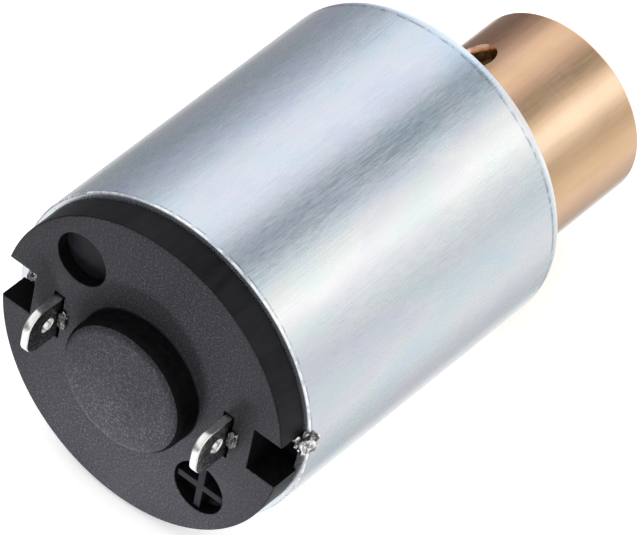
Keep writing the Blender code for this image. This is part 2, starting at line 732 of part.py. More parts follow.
def build():
    zinc = finish("zinc_plated_steel", (0.60, 0.64, 0.68), 1.0, 0.35)
    plastic = finish("black_nylon", (0.06, 0.06, 0.065), 0.0, 0.6)
    tin = finish("tinned_copper", (0.82, 0.82, 0.80), 1.0, 0.2)
    steel = finish("ground_steel", (0.55, 0.56, 0.58), 1.0, 0.25)
    iron = finish("silicon_steel", (0.35, 0.36, 0.38), 1.0, 0.45)
    ferrite = finish("ferrite", (0.08, 0.08, 0.09), 0.2, 0.7)
    bronze = finish("sintered_bronze", (0.55, 0.38, 0.20), 1.0, 0.5)
    spring_bronze = finish("phosphor_bronze", (0.70, 0.45, 0.25), 1.0, 0.3)
    carbon = finish("carbon", (0.03, 0.03, 0.03), 0.1, 0.7)
    copper = finish("bar_copper", (0.75, 0.38, 0.22), 1.0, 0.3)
    enamel = finish("enamelled_copper", (0.55, 0.20, 0.08), 0.9, 0.35)
    fibre = finish("green_fibre", (0.12, 0.35, 0.22), 0.0, 0.6)
    phenolic = finish("brown_phenolic", (0.25, 0.13, 0.07), 0.0, 0.5)
    nylon = finish("white_nylon", (0.85, 0.84, 0.80), 0.0, 0.5)
    ceramic = finish("varistor_ceramic", (0.13, 0.14, 0.16), 0.0, 0.6)
    brass = finish("turned_brass", (0.72, 0.52, 0.32), 1.0, 0.3)

    make_can(zinc)
    make_end_cap(plastic)
    make_magnet("magnet_upper", 1, ferrite)
    make_magnet("magnet_lower", -1, ferrite)
    make_magnet_spring("magnet_spring_left", 1, steel)
    make_magnet_spring("magnet_spring_right", -1, steel)
    bore = SHAFT_RADIUS + RUNNING_GAP
    tube("front_bearing", FRONT_BEARING_FRONT, FRONT_BEARING_REAR, FRONT_BEARING_RADIUS, bore, bronze)
    tube("rear_bearing", REAR_BEARING_FRONT, REAR_BEARING_REAR, REAR_BEARING_RADIUS, bore, bronze)

    for side, name in ((-1, "positive"), (1, "negative")):
        make_terminal(f"terminal_{name}", side, tin)
        make_brush_foot(f"brush_foot_{name}", side, spring_bronze)
        arm = make_brush_arm(f"brush_arm_{name}", side, spring_bronze)
        brush = make_carbon_brush(f"carbon_brush_{name}", side, carbon)
        fold = empty(f"brush_fold_{name}", (BRUSH_MIDDLE, side * HINGE_Y, -side * ARM_TOP))
        hold(fold, arm, brush)

    loose_bore = SHAFT_RADIUS + LOOSE_GAP
    rotor = [
        make_shaft(steel),
        make_core_piece("armature_core", CORE_REAR, CORE_FRONT, 0, iron),
        make_core_piece(
            "insulator_front",
            CORE_FRONT + SEAT_GAP,
            CORE_FRONT + INSULATOR_THICKNESS,
            PRESS_GAP,
            fibre,
        ),
        make_core_piece(
            "insulator_rear",
            CORE_REAR - INSULATOR_THICKNESS,
            CORE_REAR - SEAT_GAP,
            PRESS_GAP,
            fibre,
        ),
        make_commutator_hub(phenolic),
        tube(
            "varistor_ring",
            FLANGE_REAR + VARISTOR_THICKNESS,
            FLANGE_REAR,
            VARISTOR_BORE + VARISTOR_WALL,
            VARISTOR_BORE,
            ceramic,
        ),
        tube(
            "spacer_sleeve",
            FRONT_WASHER_REAR - SEAT_GAP,
            CORE_FRONT + INSULATOR_THICKNESS + SEAT_GAP,
            THRUST_WASHER_RADIUS,
            SHAFT_RADIUS + PRESS_GAP,
            nylon,
        ),
        tube(
            "thrust_washer_front",
            FRONT_WASHER_FRONT,
            FRONT_WASHER_REAR,
            THRUST_WASHER_RADIUS,
            loose_bore,
            nylon,
        ),
        tube(
            "thrust_washer_rear",
            REAR_WASHER_FRONT,
            REAR_WASHER_REAR,
            THRUST_WASHER_RADIUS,
            loose_bore,
            nylon,
        ),
        make_weight(brass),
    ]
    for number in range(POLES):
        rotor.append(make_winding(f"winding_{number + 1}", number, enamel))
        rotor.append(make_commutator_bar(f"commutator_bar_{number + 1}", number, copper))
    hold(empty("rotor_axis", (0, 0, 0)), *rotor)


clear_scene()
PARTS = new_collection("vibration_motor")
CUTTERS = new_collection("cutters")
build()
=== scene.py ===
# %% [markdown]
# # A small vibration motor, from its sheet-metal can to its brass weight
#
# This lesson dresses a finished mechanical model. The sizes and the moving bodies come from a packed
# frame, and each cell below makes one visible piece or one finish. The motor lies along X with its
# shaft on the X axis: the brass weight is at +X, the solder terminals are at -X, and +Z is up.

# %% Load the frame
from math import asin, cos, degrees, hypot, pi, radians, sin

import bmesh
import bpy
from mathutils import Matrix, Vector, noise


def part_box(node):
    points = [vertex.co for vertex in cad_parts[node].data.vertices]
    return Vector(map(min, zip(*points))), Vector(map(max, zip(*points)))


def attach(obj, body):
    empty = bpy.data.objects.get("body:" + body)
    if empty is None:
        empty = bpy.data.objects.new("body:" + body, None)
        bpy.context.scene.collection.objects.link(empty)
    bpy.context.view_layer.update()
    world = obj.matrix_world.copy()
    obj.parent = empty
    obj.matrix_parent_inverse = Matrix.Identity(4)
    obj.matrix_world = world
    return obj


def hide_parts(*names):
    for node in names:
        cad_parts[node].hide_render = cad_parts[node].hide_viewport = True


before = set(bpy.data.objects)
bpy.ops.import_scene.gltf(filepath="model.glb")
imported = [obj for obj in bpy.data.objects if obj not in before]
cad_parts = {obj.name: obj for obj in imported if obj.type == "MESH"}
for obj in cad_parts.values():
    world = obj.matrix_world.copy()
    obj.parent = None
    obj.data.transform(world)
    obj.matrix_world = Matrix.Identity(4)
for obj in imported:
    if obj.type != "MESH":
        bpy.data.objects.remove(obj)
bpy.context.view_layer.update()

MM = 0.001

# %% [markdown]
# ## The sizes that the pieces share
#
# The frame already knows where each part lies, so most places are read from it. What a bounding box
# can't tell, such as a corner's radius, is stated here once, in millimetres times MM.

# %% Measure the frame
can_low, can_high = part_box("can")
cap_low, cap_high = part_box("end_cap")
weight_low, weight_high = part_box("eccentric_weight")
shaft_low, shaft_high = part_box("shaft")
tag_low, tag_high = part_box("terminal_positive")

PLUG_DEPTH = 3.6 * MM
BAND_LENGTH = 2.4 * MM
BAND_STEP = 0.4 * MM

can_radius = can_high.z
front_boss_top = can_high.x
boss_top = cap_low.x
plug_front = cap_high.x
rim_x = plug_front - PLUG_DEPTH
cap_face = rim_x - BAND_LENGTH
band_radius = can_radius - BAND_STEP
print("can", round(2000 * can_radius, 2), "mm across, face of the cap at", round(cap_face / MM, 2), "mm")

# %% [markdown]
# ## The camera
#
# A long lens far away keeps the circles of a small part close to true ellipses, as in a parts
# catalogue. Its place is given as a direction round the motor, and a small roll tips the motor over.

# %% Place the camera
LOOK_AT = Vector((-17.55, -4.58, 5.24)) * MM
AZIMUTH = radians(-59.51)
ELEVATION = radians(45.125)
ROLL = radians(12.30)
DISTANCE = 520 * MM
LENS = 448
SENSOR_WIDTH = 36

towards_camera = Vector((sin(AZIMUTH) * cos(ELEVATION), -cos(AZIMUTH) * cos(ELEVATION), sin(ELEVATION)))
camera_data = bpy.data.cameras.new("product_camera")
camera_data.lens = LENS
camera_data.sensor_width = SENSOR_WIDTH
camera_data.clip_start = 10 * MM
camera = bpy.data.objects.new("product_camera", camera_data)
bpy.context.scene.collection.objects.link(camera)
level = towards_camera.to_track_quat("Z", "Y").to_matrix().to_4x4()
stand = Matrix.Translation(LOOK_AT + DISTANCE * towards_camera)
camera.matrix_world = stand @ level @ Matrix.Rotation(ROLL, 4, "Z")
bpy.context.scene.camera = camera
print("camera at", [round(c / MM, 1) for c in camera.matrix_world.translation], "mm")

# %% [markdown]
# ## The studio
#
# Bare metal has no look of its own: it shows the room. A round can shows bands of light that run along
# it, so the room here is a tent of soft light whose brightness changes with the direction round the
# motor's axis. The tent's far end, which the motor's front edge sees, is a plain bright backdrop.
# Sky-like light for matt surfaces stays even, and the background stays white.


# %% A helper that adds a node and fills its sockets
def node(tree, kind, sockets=None, **settings):
    """Adds a node. Each socket takes a number, a colour, or another node's output."""
    made = tree.nodes.new(kind)
    for key, value in settings.items():
        setattr(made, key, value)
    for socket, value in (sockets or {}).items():
        if isinstance(value, bpy.types.NodeSocket):
            tree.links.new(value, made.inputs[socket])
        else:
            made.inputs[socket].default_value = value
    return made


def calc(tree, operation, *values):
    """A number worked out from up to three others."""
    return node(tree, "ShaderNodeMath", dict(enumerate(values)), operation=operation).outputs[0]


def ramp(tree, amount, stops, smooth=True):
    """Turns a number from 0 to 1 into a colour. Each stop is a place and a grey level or a colour."""
    made = node(tree, "ShaderNodeValToRGB", {"Fac": amount})
    made.color_ramp.interpolation = "EASE" if smooth else "LINEAR"
    points = made.color_ramp.elements
    while len(points) < len(stops):
        points.new(0.5)
    for point, (place, shade) in zip(points, stops):
        point.position = place
    for point, (place, shade) in zip(points, stops):
        point.color = (*shade, 1) if isinstance(shade, tuple) else (shade, shade, shade, 1)
    return made.outputs["Color"]


# %% Light the tent
LIGHT_BANDS = [
    (-180, 0.72), (-158, 0.92), (-138, 0.99), (-115, 0.78), (-98, 0.62), (-82, 1.02), (-66, 1.42),
    (-50, 1.00), (-34, 0.27), (0, 0.20), (20, 0.38), (32, 0.56), (44, 0.98), (60, 1.04), (76, 0.86),
    (88, 0.56), (97, 0.32), (106, 0.34), (114, 0.58), (124, 1.15), (134, 1.46), (146, 1.46),
    (158, 0.92), (170, 0.70), (180, 0.72),
]
BRIGHTEST = max(level for angle, level in LIGHT_BANDS)
ROOM_STRENGTH = 1.1
BACKDROP = 1.2
BACKDROP_FROM, BACKDROP_TO = 0.66, 0.85
WHITE = (1, 1, 1, 1)


def light_the_tent():
    world = bpy.data.worlds.new("light_tent")
    world.use_nodes = True
    bpy.context.scene.world = world
    tree = world.node_tree
    tree.nodes.clear()
    ways = node(tree, "ShaderNodeTexCoord").outputs["Generated"]
    split = node(tree, "ShaderNodeSeparateXYZ", {0: ways}).outputs
    turn = calc(tree, "ARCTAN2", split["Z"], split["Y"])
    share = calc(tree, "MULTIPLY_ADD", turn, 1 / (2 * pi), 0.5)
    bands = ramp(tree, share, [((angle + 180) / 360, level / BRIGHTEST) for angle, level in LIGHT_BANDS])
    limits = {"Value": split["X"], "From Min": BACKDROP_FROM, "From Max": BACKDROP_TO}
    far_end = node(tree, "ShaderNodeMapRange", limits).outputs[0]
    backdrop = (BACKDROP / BRIGHTEST,) * 3 + (1,)
    joined = node(tree, "ShaderNodeMix", {0: far_end, 6: bands, 7: backdrop}, data_type="RGBA")
    bands = joined.outputs[2]
    banded = node(tree, "ShaderNodeBackground", {"Color": bands, "Strength": BRIGHTEST}).outputs[0]
    even = node(tree, "ShaderNodeBackground", {"Color": WHITE, "Strength": ROOM_STRENGTH}).outputs[0]
    glossy = node(tree, "ShaderNodeLightPath").outputs["Is Glossy Ray"]
    mixed = node(tree, "ShaderNodeMixShader", {0: glossy, 1: even, 2: banded}).outputs[0]
    node(tree, "ShaderNodeOutputWorld", {"Surface": mixed})
    print("the tent has", len(LIGHT_BANDS), "bands of light")


light_the_tent()
bpy.context.scene.view_settings.view_transform = "Standard"

# %% [markdown]
# ## A low fill light
#
# A small soft light stands close to the cap, low and in front of it. It fades quickly with distance, so
# the flat black face gets a gentle slope from lighter at the bottom to darker at the top.


# %% Add the fill light
FILL_SIZE = 7 * MM
FILL_POWER = 0.040
FILL_FROM_FACE = 14 * MM
FILL_BELOW = 14 * MM


def add_fill():
    lamp = bpy.data.lights.new("low_fill", "AREA")
    lamp.size = FILL_SIZE
    lamp.energy = FILL_POWER
    light = bpy.data.objects.new("low_fill", lamp)
    light.location = (cap_face - FILL_FROM_FACE, -1 * MM, -FILL_BELOW)
    aim = Vector((cap_face, 0, -4 * MM)) - light.location
    light.rotation_euler = aim.to_track_quat("-Z", "Y").to_euler()
    light.visible_camera = False
    light.visible_glossy = False
    bpy.context.scene.collection.objects.link(light)
    print("fill light of", lamp.energy, "W")


add_fill()

# %% [markdown]
# ## The floor
#
# The motor rests on a plain white table. The table is kept out of reflections, so that the metal shows
# the tent alone, and it glows a little, so that the shadow under the motor stays faint.


# %% Lay the floor
FLOOR_REACH = 2.0
FLOOR_GREY = (0.97, 0.97, 0.97, 1)
FLOOR_GLOW = 0.35


def lay_floor():
    shape = bmesh.new()
    bmesh.ops.create_grid(shape, x_segments=1, y_segments=1, size=FLOOR_REACH)
    mesh = bpy.data.meshes.new("floor")
    shape.to_mesh(mesh)
    shape.free()
    floor = bpy.data.objects.new("floor", mesh)
    floor.location.z = -can_radius
    bpy.context.scene.collection.objects.link(floor)
    paint = bpy.data.materials.new("table_top")
    paint.use_nodes = True
    sockets = paint.node_tree.nodes["Principled BSDF"].inputs
    sockets["Base Color"].default_value = FLOOR_GREY
    sockets["Roughness"].default_value = 0.9
    sockets["Specular IOR Level"].default_value = 0.0
    sockets["Emission Color"].default_value = WHITE
    sockets["Emission Strength"].default_value = FLOOR_GLOW
    mesh.materials.append(paint)
    floor.visible_glossy = False
    print("floor at", round(floor.location.z / MM, 2), "mm")


lay_floor()

# %% [markdown]
# ## Shape helpers
#
# Two ways of making cover nearly every piece of a small motor. Turned pieces come from a profile spun
# round an axis, as on a lathe. Stamped and moulded plates come from a flat outline with holes, given a
# thickness and a small rounded edge. Real edges are never razor sharp, and the thin highlight on a
# rounded edge is what makes a render look solid.


# %% Put a mesh in the scene as a piece
def place_piece(name, mesh, finishes, body, stands_for=None, corner=35):
    """Shades the mesh, gives it its finishes, and makes it ride on a body of the frame."""
    for finish in finishes:
        mesh.materials.append(finish)
    mesh.shade_smooth()
    mesh.set_sharp_from_angle(angle=radians(corner))
    piece = bpy.data.objects.new(name, mesh)
    bpy.context.scene.collection.objects.link(piece)
    steady = piece.modifiers.new("even_shading", "WEIGHTED_NORMAL")
    steady.keep_sharp = True
    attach(piece, body)
    if stands_for:
        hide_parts(stands_for)
    print(name, "has", len(mesh.polygons), "faces")
    return piece


def arc(centre, radius, start, end, count):
    """count + 1 points on an arc, with the angles in degrees."""
    turns = [radians(start + (end - start) * i / count) for i in range(count + 1)]
    return [(centre[0] + radius * cos(turn), centre[1] + radius * sin(turn)) for turn in turns]


# %% Turn a profile as on a lathe
ROUND_STEPS = 192
WELD = 1e-7


def turned_mesh(name, profile, centre=(0, 0), steps=ROUND_STEPS, closed=True):
    """Spins points (x, r) round a line along X through centre, a (y, z) place."""
    shape = bmesh.new()
    verts = [shape.verts.new((x, centre[0], centre[1] + r)) for x, r in profile]
    edges = [shape.edges.new(pair) for pair in zip(verts, verts[1:])]
    if closed:
        edges.append(shape.edges.new((verts[-1], verts[0])))
    turn = {"cent": (0, *centre), "axis": (1, 0, 0), "angle": 2 * pi, "steps": steps}
    bmesh.ops.spin(shape, geom=verts + edges, use_merge=True, **turn)
    bmesh.ops.remove_doubles(shape, verts=shape.verts, dist=WELD)
    bmesh.ops.recalc_face_normals(shape, faces=shape.faces)
    mesh = bpy.data.meshes.new(name)
    shape.to_mesh(mesh)
    shape.free()
    return mesh


# %% Stamp a flat outline
ALONG_SHAFT = Matrix(((0, 0, 1, 0), (1, 0, 0, 0), (0, 1, 0, 0), (0, 0, 0, 1)))
ACROSS_TAGS = Matrix(((1, 0, 0, 0), (0, 0, -1, 0), (0, 1, 0, 0), (0, 0, 0, 1)))


def stamped_mesh(name, loops, low, high, edge, lie=ALONG_SHAFT):
    """A plate from low to high. Its loops hold (y, z) points along the shaft, or (x, z) across the tags."""
    curve = bpy.data.curves.new(name, "CURVE")
    curve.dimensions = "2D"
    curve.fill_mode = "BOTH"
    curve.extrude = abs(high - low) / 2 - edge
    curve.bevel_depth = edge
    curve.bevel_resolution = 3
    curve.offset = -edge
    for loop in loops:
        spline = curve.splines.new("POLY")
        spline.use_cyclic_u = True
        spline.points.add(len(loop) - 1)
        for point, (first, second) in zip(spline.points, loop):
            point.co = (first, second, 0, 1)
    outline = bpy.data.objects.new(name, curve)
    bpy.context.scene.collection.objects.link(outline)
    bpy.context.view_layer.update()
    ready = outline.evaluated_get(bpy.context.evaluated_depsgraph_get())
    solid = bpy.data.meshes.new_from_object(ready)
    bpy.data.objects.remove(outline)
    middle = (low + high) / 2
    shift = (middle, 0, 0) if lie is ALONG_SHAFT else (0, middle, 0)
    shape = bmesh.new()
    shape.from_mesh(solid)
    bmesh.ops.transform(shape, matrix=Matrix.Translation(shift) @ lie, verts=shape.verts)
    bmesh.ops.remove_doubles(shape, verts=shape.verts, dist=WELD)
    bmesh.ops.recalc_face_normals(shape, faces=shape.faces)
    shape.to_mesh(solid)
    shape.free()
    return solid


# %% Cut one mesh with another
def cut_mesh(mesh, tools):
    """Takes the tools' volume out of a mesh with exact Booleans, and returns the new mesh."""
    blank = bpy.data.objects.new("blank", mesh)
    bpy.context.scene.collection.objects.link(blank)
    cutters = []
    for tool in tools:
        cutter = bpy.data.objects.new("cutter", tool)
        bpy.context.scene.collection.objects.link(cutter)
        cutters.append(cutter)
        step = blank.modifiers.new("cut", "BOOLEAN")
        step.solver = "EXACT"
        step.object = cutter
    bpy.context.view_layer.update()
    ready = blank.evaluated_get(bpy.context.evaluated_depsgraph_get())
    shaped = bpy.data.meshes.new_from_object(ready)
    for helper in (blank, *cutters):
        bpy.data.objects.remove(helper)
    return shaped


# %% [markdown]
# ## Finish helpers
#
# Each finish is grown from noise at the scale of the real surface: hairlines a few hundredths of a
# millimetre wide, grain of a tenth, and patches of a few millimetres. On a round piece the noise is
# laid out on the unrolled surface, so that a drawn or turned texture runs the way the tool ran.


# %% Places, grain and bump for a finish
def new_finish(name, metallic, roughness):
    finish = bpy.data.materials.new(name)
    finish.use_nodes = True
    shader = finish.node_tree.nodes["Principled BSDF"]
    shader.inputs["Metallic"].default_value = metallic
    shader.inputs["Roughness"].default_value = roughness
    return finish, finish.node_tree, shader


def plain_place(tree):
    return node(tree, "ShaderNodeTexCoord").outputs["Object"]


def unrolled_place(tree, radius, centre=(0, 0)):
    """(along the shaft, round it, out from it) in metres. Its seam is on the underside."""
    split = node(tree, "ShaderNodeSeparateXYZ", {0: plain_place(tree)}).outputs
    y = calc(tree, "SUBTRACT", split["Y"], centre[0])
    z = calc(tree, "SUBTRACT", split["Z"], centre[1])
    turn = calc(tree, "ARCTAN2", y, z)
    out = calc(tree, "SQRT", calc(tree, "MULTIPLY_ADD", y, y, calc(tree, "MULTIPLY", z, z)))
    sockets = {"X": split["X"], "Y": calc(tree, "MULTIPLY", turn, radius), "Z": out}
    return node(tree, "ShaderNodeCombineXYZ", sockets).outputs[0]


def grain(tree, place, size, detail=2.0, lean=0.0, harsh=0.5):
    """Noise whose features are size long in each direction, from 0 to 1. lean turns it, in degrees."""
    turn = (0, 0, radians(lean))
    settings = {"Vector": place, "Rotation": turn, "Scale": tuple(1 / s for s in size)}
    laid = node(tree, "ShaderNodeMapping", settings).outputs[0]
    kind = {"Vector": laid, "Scale": 1.0, "Detail": detail, "Roughness": harsh}
    return node(tree, "ShaderNodeTexNoise", kind).outputs[0]


def spread(tree, amount, low, high, start=0.3, end=0.7):
    """Stretches a number from the range start to end over the range low to high."""
    sockets = {"Value": amount, "From Min": start, "From Max": end, "To Min": low, "To Max": high}
    return node(tree, "ShaderNodeMapRange", sockets).outputs[0]


def tint(tree, colour, other, amount=1.0, way="MULTIPLY"):
    """Mixes two colours. amount may be a number or an output."""
    mixed = {0: amount, 6: colour, 7: other}
    return node(tree, "ShaderNodeMix", mixed, data_type="RGBA", blend_type=way).outputs[2]


def round_bands(tree, place, radius, stops, on_ends):
    """A colour that changes round a piece's wall. Each stop is an angle from +Y, -90 to 270, and a
    colour. The flat ends take the one colour on_ends."""
    y = node(tree, "ShaderNodeSeparateXYZ", {0: place}).outputs["Y"]
    share = calc(tree, "MULTIPLY_ADD", y, -1 / (2 * pi * radius), 0.5)
    bands = ramp(tree, share, [((angle + 90) / 360, colour) for angle, colour in stops])
    normal = node(tree, "ShaderNodeNewGeometry").outputs["Normal"]
    along = node(tree, "ShaderNodeSeparateXYZ", {0: normal}).outputs["X"]
    end_share = spread(tree, calc(tree, "ABSOLUTE", along), 0.0, 1.0, 0.8, 0.95)
    return tint(tree, bands, (*on_ends, 1), end_share, "MIX")


def emboss(tree, shader, height, depth):
    """Turns a number from 0 to 1 into relief of that depth in metres."""
    bump = node(tree, "ShaderNodeBump", {"Height": height, "Distance": depth, "Strength": 1.0})
    tree.links.new(bump.outputs[0], shader.inputs["Normal"])


# %% [markdown]
# ## Zinc plate on the can
#
# The can is drawn from steel strip and barrel-plated with zinc. The plate is satin, cool in colour, and
# carries faint cloudy patches of lilac, blue and green from its clear passivation. Drawing leaves fine
# hairlines along the can, and tumbling leaves short marks that cross them. At the open rim the plate
# has rubbed thin, and the white line there is also a painted highlight of the rim's rounded edge.
# Two thin dark rings, one beside the rim and one where the shoulder meets the wall, are painted shade.
#
# A mirror-like cylinder shows the room as long bands, and lights alone didn't give each band its depth
# and hue. So PAINTED_REFLECTION_BANDS also tints the metal in stops round the can, from 0.62 to 1.08 of its colour.
# This is a painted reflection: it stays with the metal when the camera, the lights or the piece moves.


# %% Make the zinc plate
def edge_line(tree, x, middle, half_width, broken_patches):
    """1 on a ring round the can at x = middle, fading to 0 on both sides, and broken up in patches."""
    away = calc(tree, "ABSOLUTE", calc(tree, "SUBTRACT", x, middle))
    line = spread(tree, away, 1.0, 0.0, 0.5 * half_width, half_width)
    return calc(tree, "MULTIPLY", line, broken_patches)


# Painted reflection: tints and shades round the can that stand in for the room's bands of light.
PAINTED_REFLECTION_BANDS = [
    (-20, (0.80, 0.80, 0.80)), (20, (0.88, 0.88, 0.86)), (35, (1.02, 1.00, 0.98)),
    (45, (0.88, 0.92, 0.98)), (60, (0.85, 0.93, 1.04)), (72, (0.82, 0.89, 0.97)),
    (85, (0.80, 0.82, 0.87)), (98, (0.86, 0.89, 0.95)), (109, (0.62, 0.69, 0.75)),
    (116, (0.70, 0.75, 0.78)), (124, (0.75, 0.74, 0.70)), (133, (0.85, 0.84, 0.79)),
    (142, (0.86, 0.89, 0.86)), (152, (0.78, 0.81, 0.82)), (170, (0.80, 0.81, 0.80)),
    (188, (0.72, 0.75, 0.76)), (197, (0.92, 0.92, 0.90)), (210, (1.08, 1.06, 1.02)),
    (240, (0.80, 0.80, 0.80)),
]
PLATE_ENDS = (0.80, 0.81, 0.82)
HATCH_BANDS = [(98, 0.10), (108, 0.34), (113, 0.34), (120, 0.10)]
HATCH_ENDS = (0.10, 0.10, 0.10)
# The white rim line is worn plate and a painted highlight of the rounded edge.
RIM_WEAR_AND_HIGHLIGHT = 0.11 * MM
# A thin dark ring beside the rim is painted shade, standing in for the rim's dark reflection.
SHADE_LINE_FROM_RIM, SHADE_LINE_WIDTH = 0.24 * MM, 0.10 * MM
# A thin dark ring where the front shoulder meets the wall is painted shade.
SHOULDER_SHADE_FROM_FRONT, SHOULDER_SHADE_WIDTH = 1.15 * MM, 0.12 * MM


def zinc_plate():
    finish, tree, shader = new_finish("zinc_plate", 0.9, 0.3)
    place = unrolled_place(tree, can_radius)
    clouds = grain(tree, place, (8 * MM, 4.5 * MM, 9 * MM), detail=3)
    colour = ramp(tree, clouds, [
        (0.30, (0.80, 0.90, 1.00)), (0.42, (0.86, 0.93, 0.97)), (0.50, (0.91, 0.93, 0.98)),
        (0.60, (0.88, 0.89, 0.98)), (0.70, (0.83, 0.91, 0.95)),
    ])
    # Painted reflection: the can darkens and warms in bands round its wall.
    colour = tint(tree, colour, round_bands(tree, place, can_radius, PAINTED_REFLECTION_BANDS, PLATE_ENDS))
    drawn = grain(tree, place, (3 * MM, 0.08 * MM, 0.3 * MM), detail=3)
    where_drawn = spread(tree, grain(tree, place, (9 * MM, 2.2 * MM, 9 * MM)), 0.15, 1.0, 0.4, 0.65)
    rising = grain(tree, place, (0.9 * MM, 0.13 * MM, 0.4 * MM), lean=35)
    falling = grain(tree, place, (0.9 * MM, 0.13 * MM, 0.4 * MM), lean=-40)
    tumbled = calc(tree, "MULTIPLY", calc(tree, "ADD", rising, falling), 0.5)
    speck = grain(tree, place, (0.28 * MM,) * 3, detail=3, harsh=0.6)
    waves = grain(tree, place, (2.6 * MM, 1.5 * MM, 9 * MM), detail=1)
    lines = calc(tree, "MULTIPLY", spread(tree, drawn, -0.5, 0.5), where_drawn)
    marks = calc(tree, "ADD", lines, spread(tree, tumbled, -0.3, 0.3))
    hatched = round_bands(tree, place, can_radius, HATCH_BANDS, HATCH_ENDS)
    shade = calc(tree, "MULTIPLY_ADD", marks, hatched, 0.97)
    grey = node(tree, "ShaderNodeCombineXYZ", {0: shade, 1: shade, 2: shade}).outputs[0]
    colour = tint(tree, colour, grey)

    x = node(tree, "ShaderNodeSeparateXYZ", {0: place}).outputs["X"]
    patches = grain(tree, place, (0.5 * MM, 0.6 * MM, 0.5 * MM), detail=4)
    broken_patches = spread(tree, patches, 0.10, 1.0, 0.42, 0.56)
    worn_highlight = edge_line(tree, x, rim_x + RIM_WEAR_AND_HIGHLIGHT, RIM_WEAR_AND_HIGHLIGHT, broken_patches)
    # Painted shade: a thin dark ring just in front of the rim.
    rim_shade_line = edge_line(tree, x, rim_x + SHADE_LINE_FROM_RIM, SHADE_LINE_WIDTH, broken_patches)
    # Painted shade: a thin dark ring where the shoulder meets the wall.
    shoulder_shade_line = edge_line(tree, x, -SHOULDER_SHADE_FROM_FRONT, SHOULDER_SHADE_WIDTH, broken_patches)
    # Both thin dark rings darken the plate here: painted shade lines.
    painted_shade_lines = calc(tree, "MAXIMUM", rim_shade_line, shoulder_shade_line)
    colour = tint(tree, colour, (0.55, 0.60, 0.66, 1), painted_shade_lines)
    # The white line at the rim is worn plate, and also a painted highlight of its rounded edge.
    colour = tint(tree, colour, (0.97, 0.97, 0.98, 1), worn_highlight, "MIX")
    tree.links.new(colour, shader.inputs["Base Color"])
    # Less metallic on that line, so that the painted highlight reads white from every side.
    tree.links.new(spread(tree, worn_highlight, 0.9, 0.35, 0.0, 1.0), shader.inputs["Metallic"])
    rough = calc(tree, "ADD", spread(tree, tumbled, 0.23, 0.32), spread(tree, clouds, -0.02, 0.03))
    tree.links.new(rough, shader.inputs["Roughness"])
    fine = calc(tree, "MULTIPLY_ADD", speck, 0.0035, calc(tree, "MULTIPLY", marks, 0.0022))
    relief = calc(tree, "MULTIPLY_ADD", waves, 0.016, fine)
    emboss(tree, shader, relief, MM)
    return finish


zinc = zinc_plate()
print("made", zinc.name)

# %% [markdown]
# ## The can
#
# The can is a deep-drawn cup, so one profile spun round the shaft gives its wall, its rounded front
# shoulder, the raised bearing seat and the open rim. Two screw holes are then cut in its front. A
# primitive cylinder would miss the shoulder, which carries the brightest line on the whole motor.

# %% Shape the can
CAN_WALL = 0.75 * MM
SHOULDER = 1.0 * MM
RIM_EDGE = 0.14 * MM
SEAT_RADIUS = 3.1 * MM
SHAFT_HOLE = 1.3 * MM
BEARING_POCKET = 2.4 * MM
SEAT_EDGE = 0.35 * MM
SEAT_FOOT = 0.3 * MM
INNER_CORNER = 0.5 * MM
SCREW_SPACING = 17 * MM
SCREW_HOLE = 1.1 * MM


def can_profile():
    bore = can_radius - CAN_WALL
    seat_end = front_boss_top - 0.6 * MM
    return [
        (front_boss_top - 0.1 * MM, SHAFT_HOLE),
        (front_boss_top, SHAFT_HOLE + 0.1 * MM),
        *arc((front_boss_top - SEAT_EDGE, SEAT_RADIUS - SEAT_EDGE), SEAT_EDGE, 0, 90, 6),
        *reversed(arc((SEAT_FOOT, SEAT_RADIUS + SEAT_FOOT), SEAT_FOOT, 180, 270, 5)),
        *arc((-SHOULDER, can_radius - SHOULDER), SHOULDER, 0, 90, 12),
        *arc((rim_x + RIM_EDGE, can_radius - RIM_EDGE), RIM_EDGE, 90, 180, 5),
        *arc((rim_x + RIM_EDGE / 2, bore + RIM_EDGE / 2), RIM_EDGE / 2, 180, 270, 3),
        *arc((-CAN_WALL - INNER_CORNER, bore - INNER_CORNER), INNER_CORNER, 90, 0, 5),
        (-CAN_WALL, BEARING_POCKET),
        (seat_end, BEARING_POCKET),
        (seat_end, SHAFT_HOLE),
    ]


def shape_can():
    drills = []
    for side in (-1, 1):
        back, front = -3 * CAN_WALL, CAN_WALL
        rod = [(back, 0), (back, SCREW_HOLE), (front, SCREW_HOLE), (front, 0)]
        drills.append(turned_mesh("screw_drill", rod, (0, side * SCREW_SPACING / 2), 48))
    mesh = cut_mesh(turned_mesh("can_shell", can_profile()), drills)
    return place_piece("can_shell", mesh, [zinc], "stator", "can")


shape_can()

# %% [markdown]
# ## The crimps
#
# The factory locks the cap by pressing the can's rim into the cap's two side notches. The pressed metal
# crumples into a small bright lump with torn facets. A finely divided block pushed about by noise gives
# that look; a smooth ball wouldn't sparkle.


# %% Crumple the crimps
def raw_steel():
    finish, tree, shader = new_finish("crumpled_steel", 1.0, 0.22)
    place = plain_place(tree)
    fleck = grain(tree, place, (0.4 * MM,) * 3, detail=3)
    colour = ramp(tree, fleck, [(0.40, 0.10), (0.50, 0.45), (0.60, (0.92, 0.92, 0.93))])
    tree.links.new(colour, shader.inputs["Base Color"])
    tree.links.new(spread(tree, fleck, 0.30, 0.10), shader.inputs["Roughness"])
    emboss(tree, shader, fleck, 0.03 * MM)
    return finish


crumpled = raw_steel()


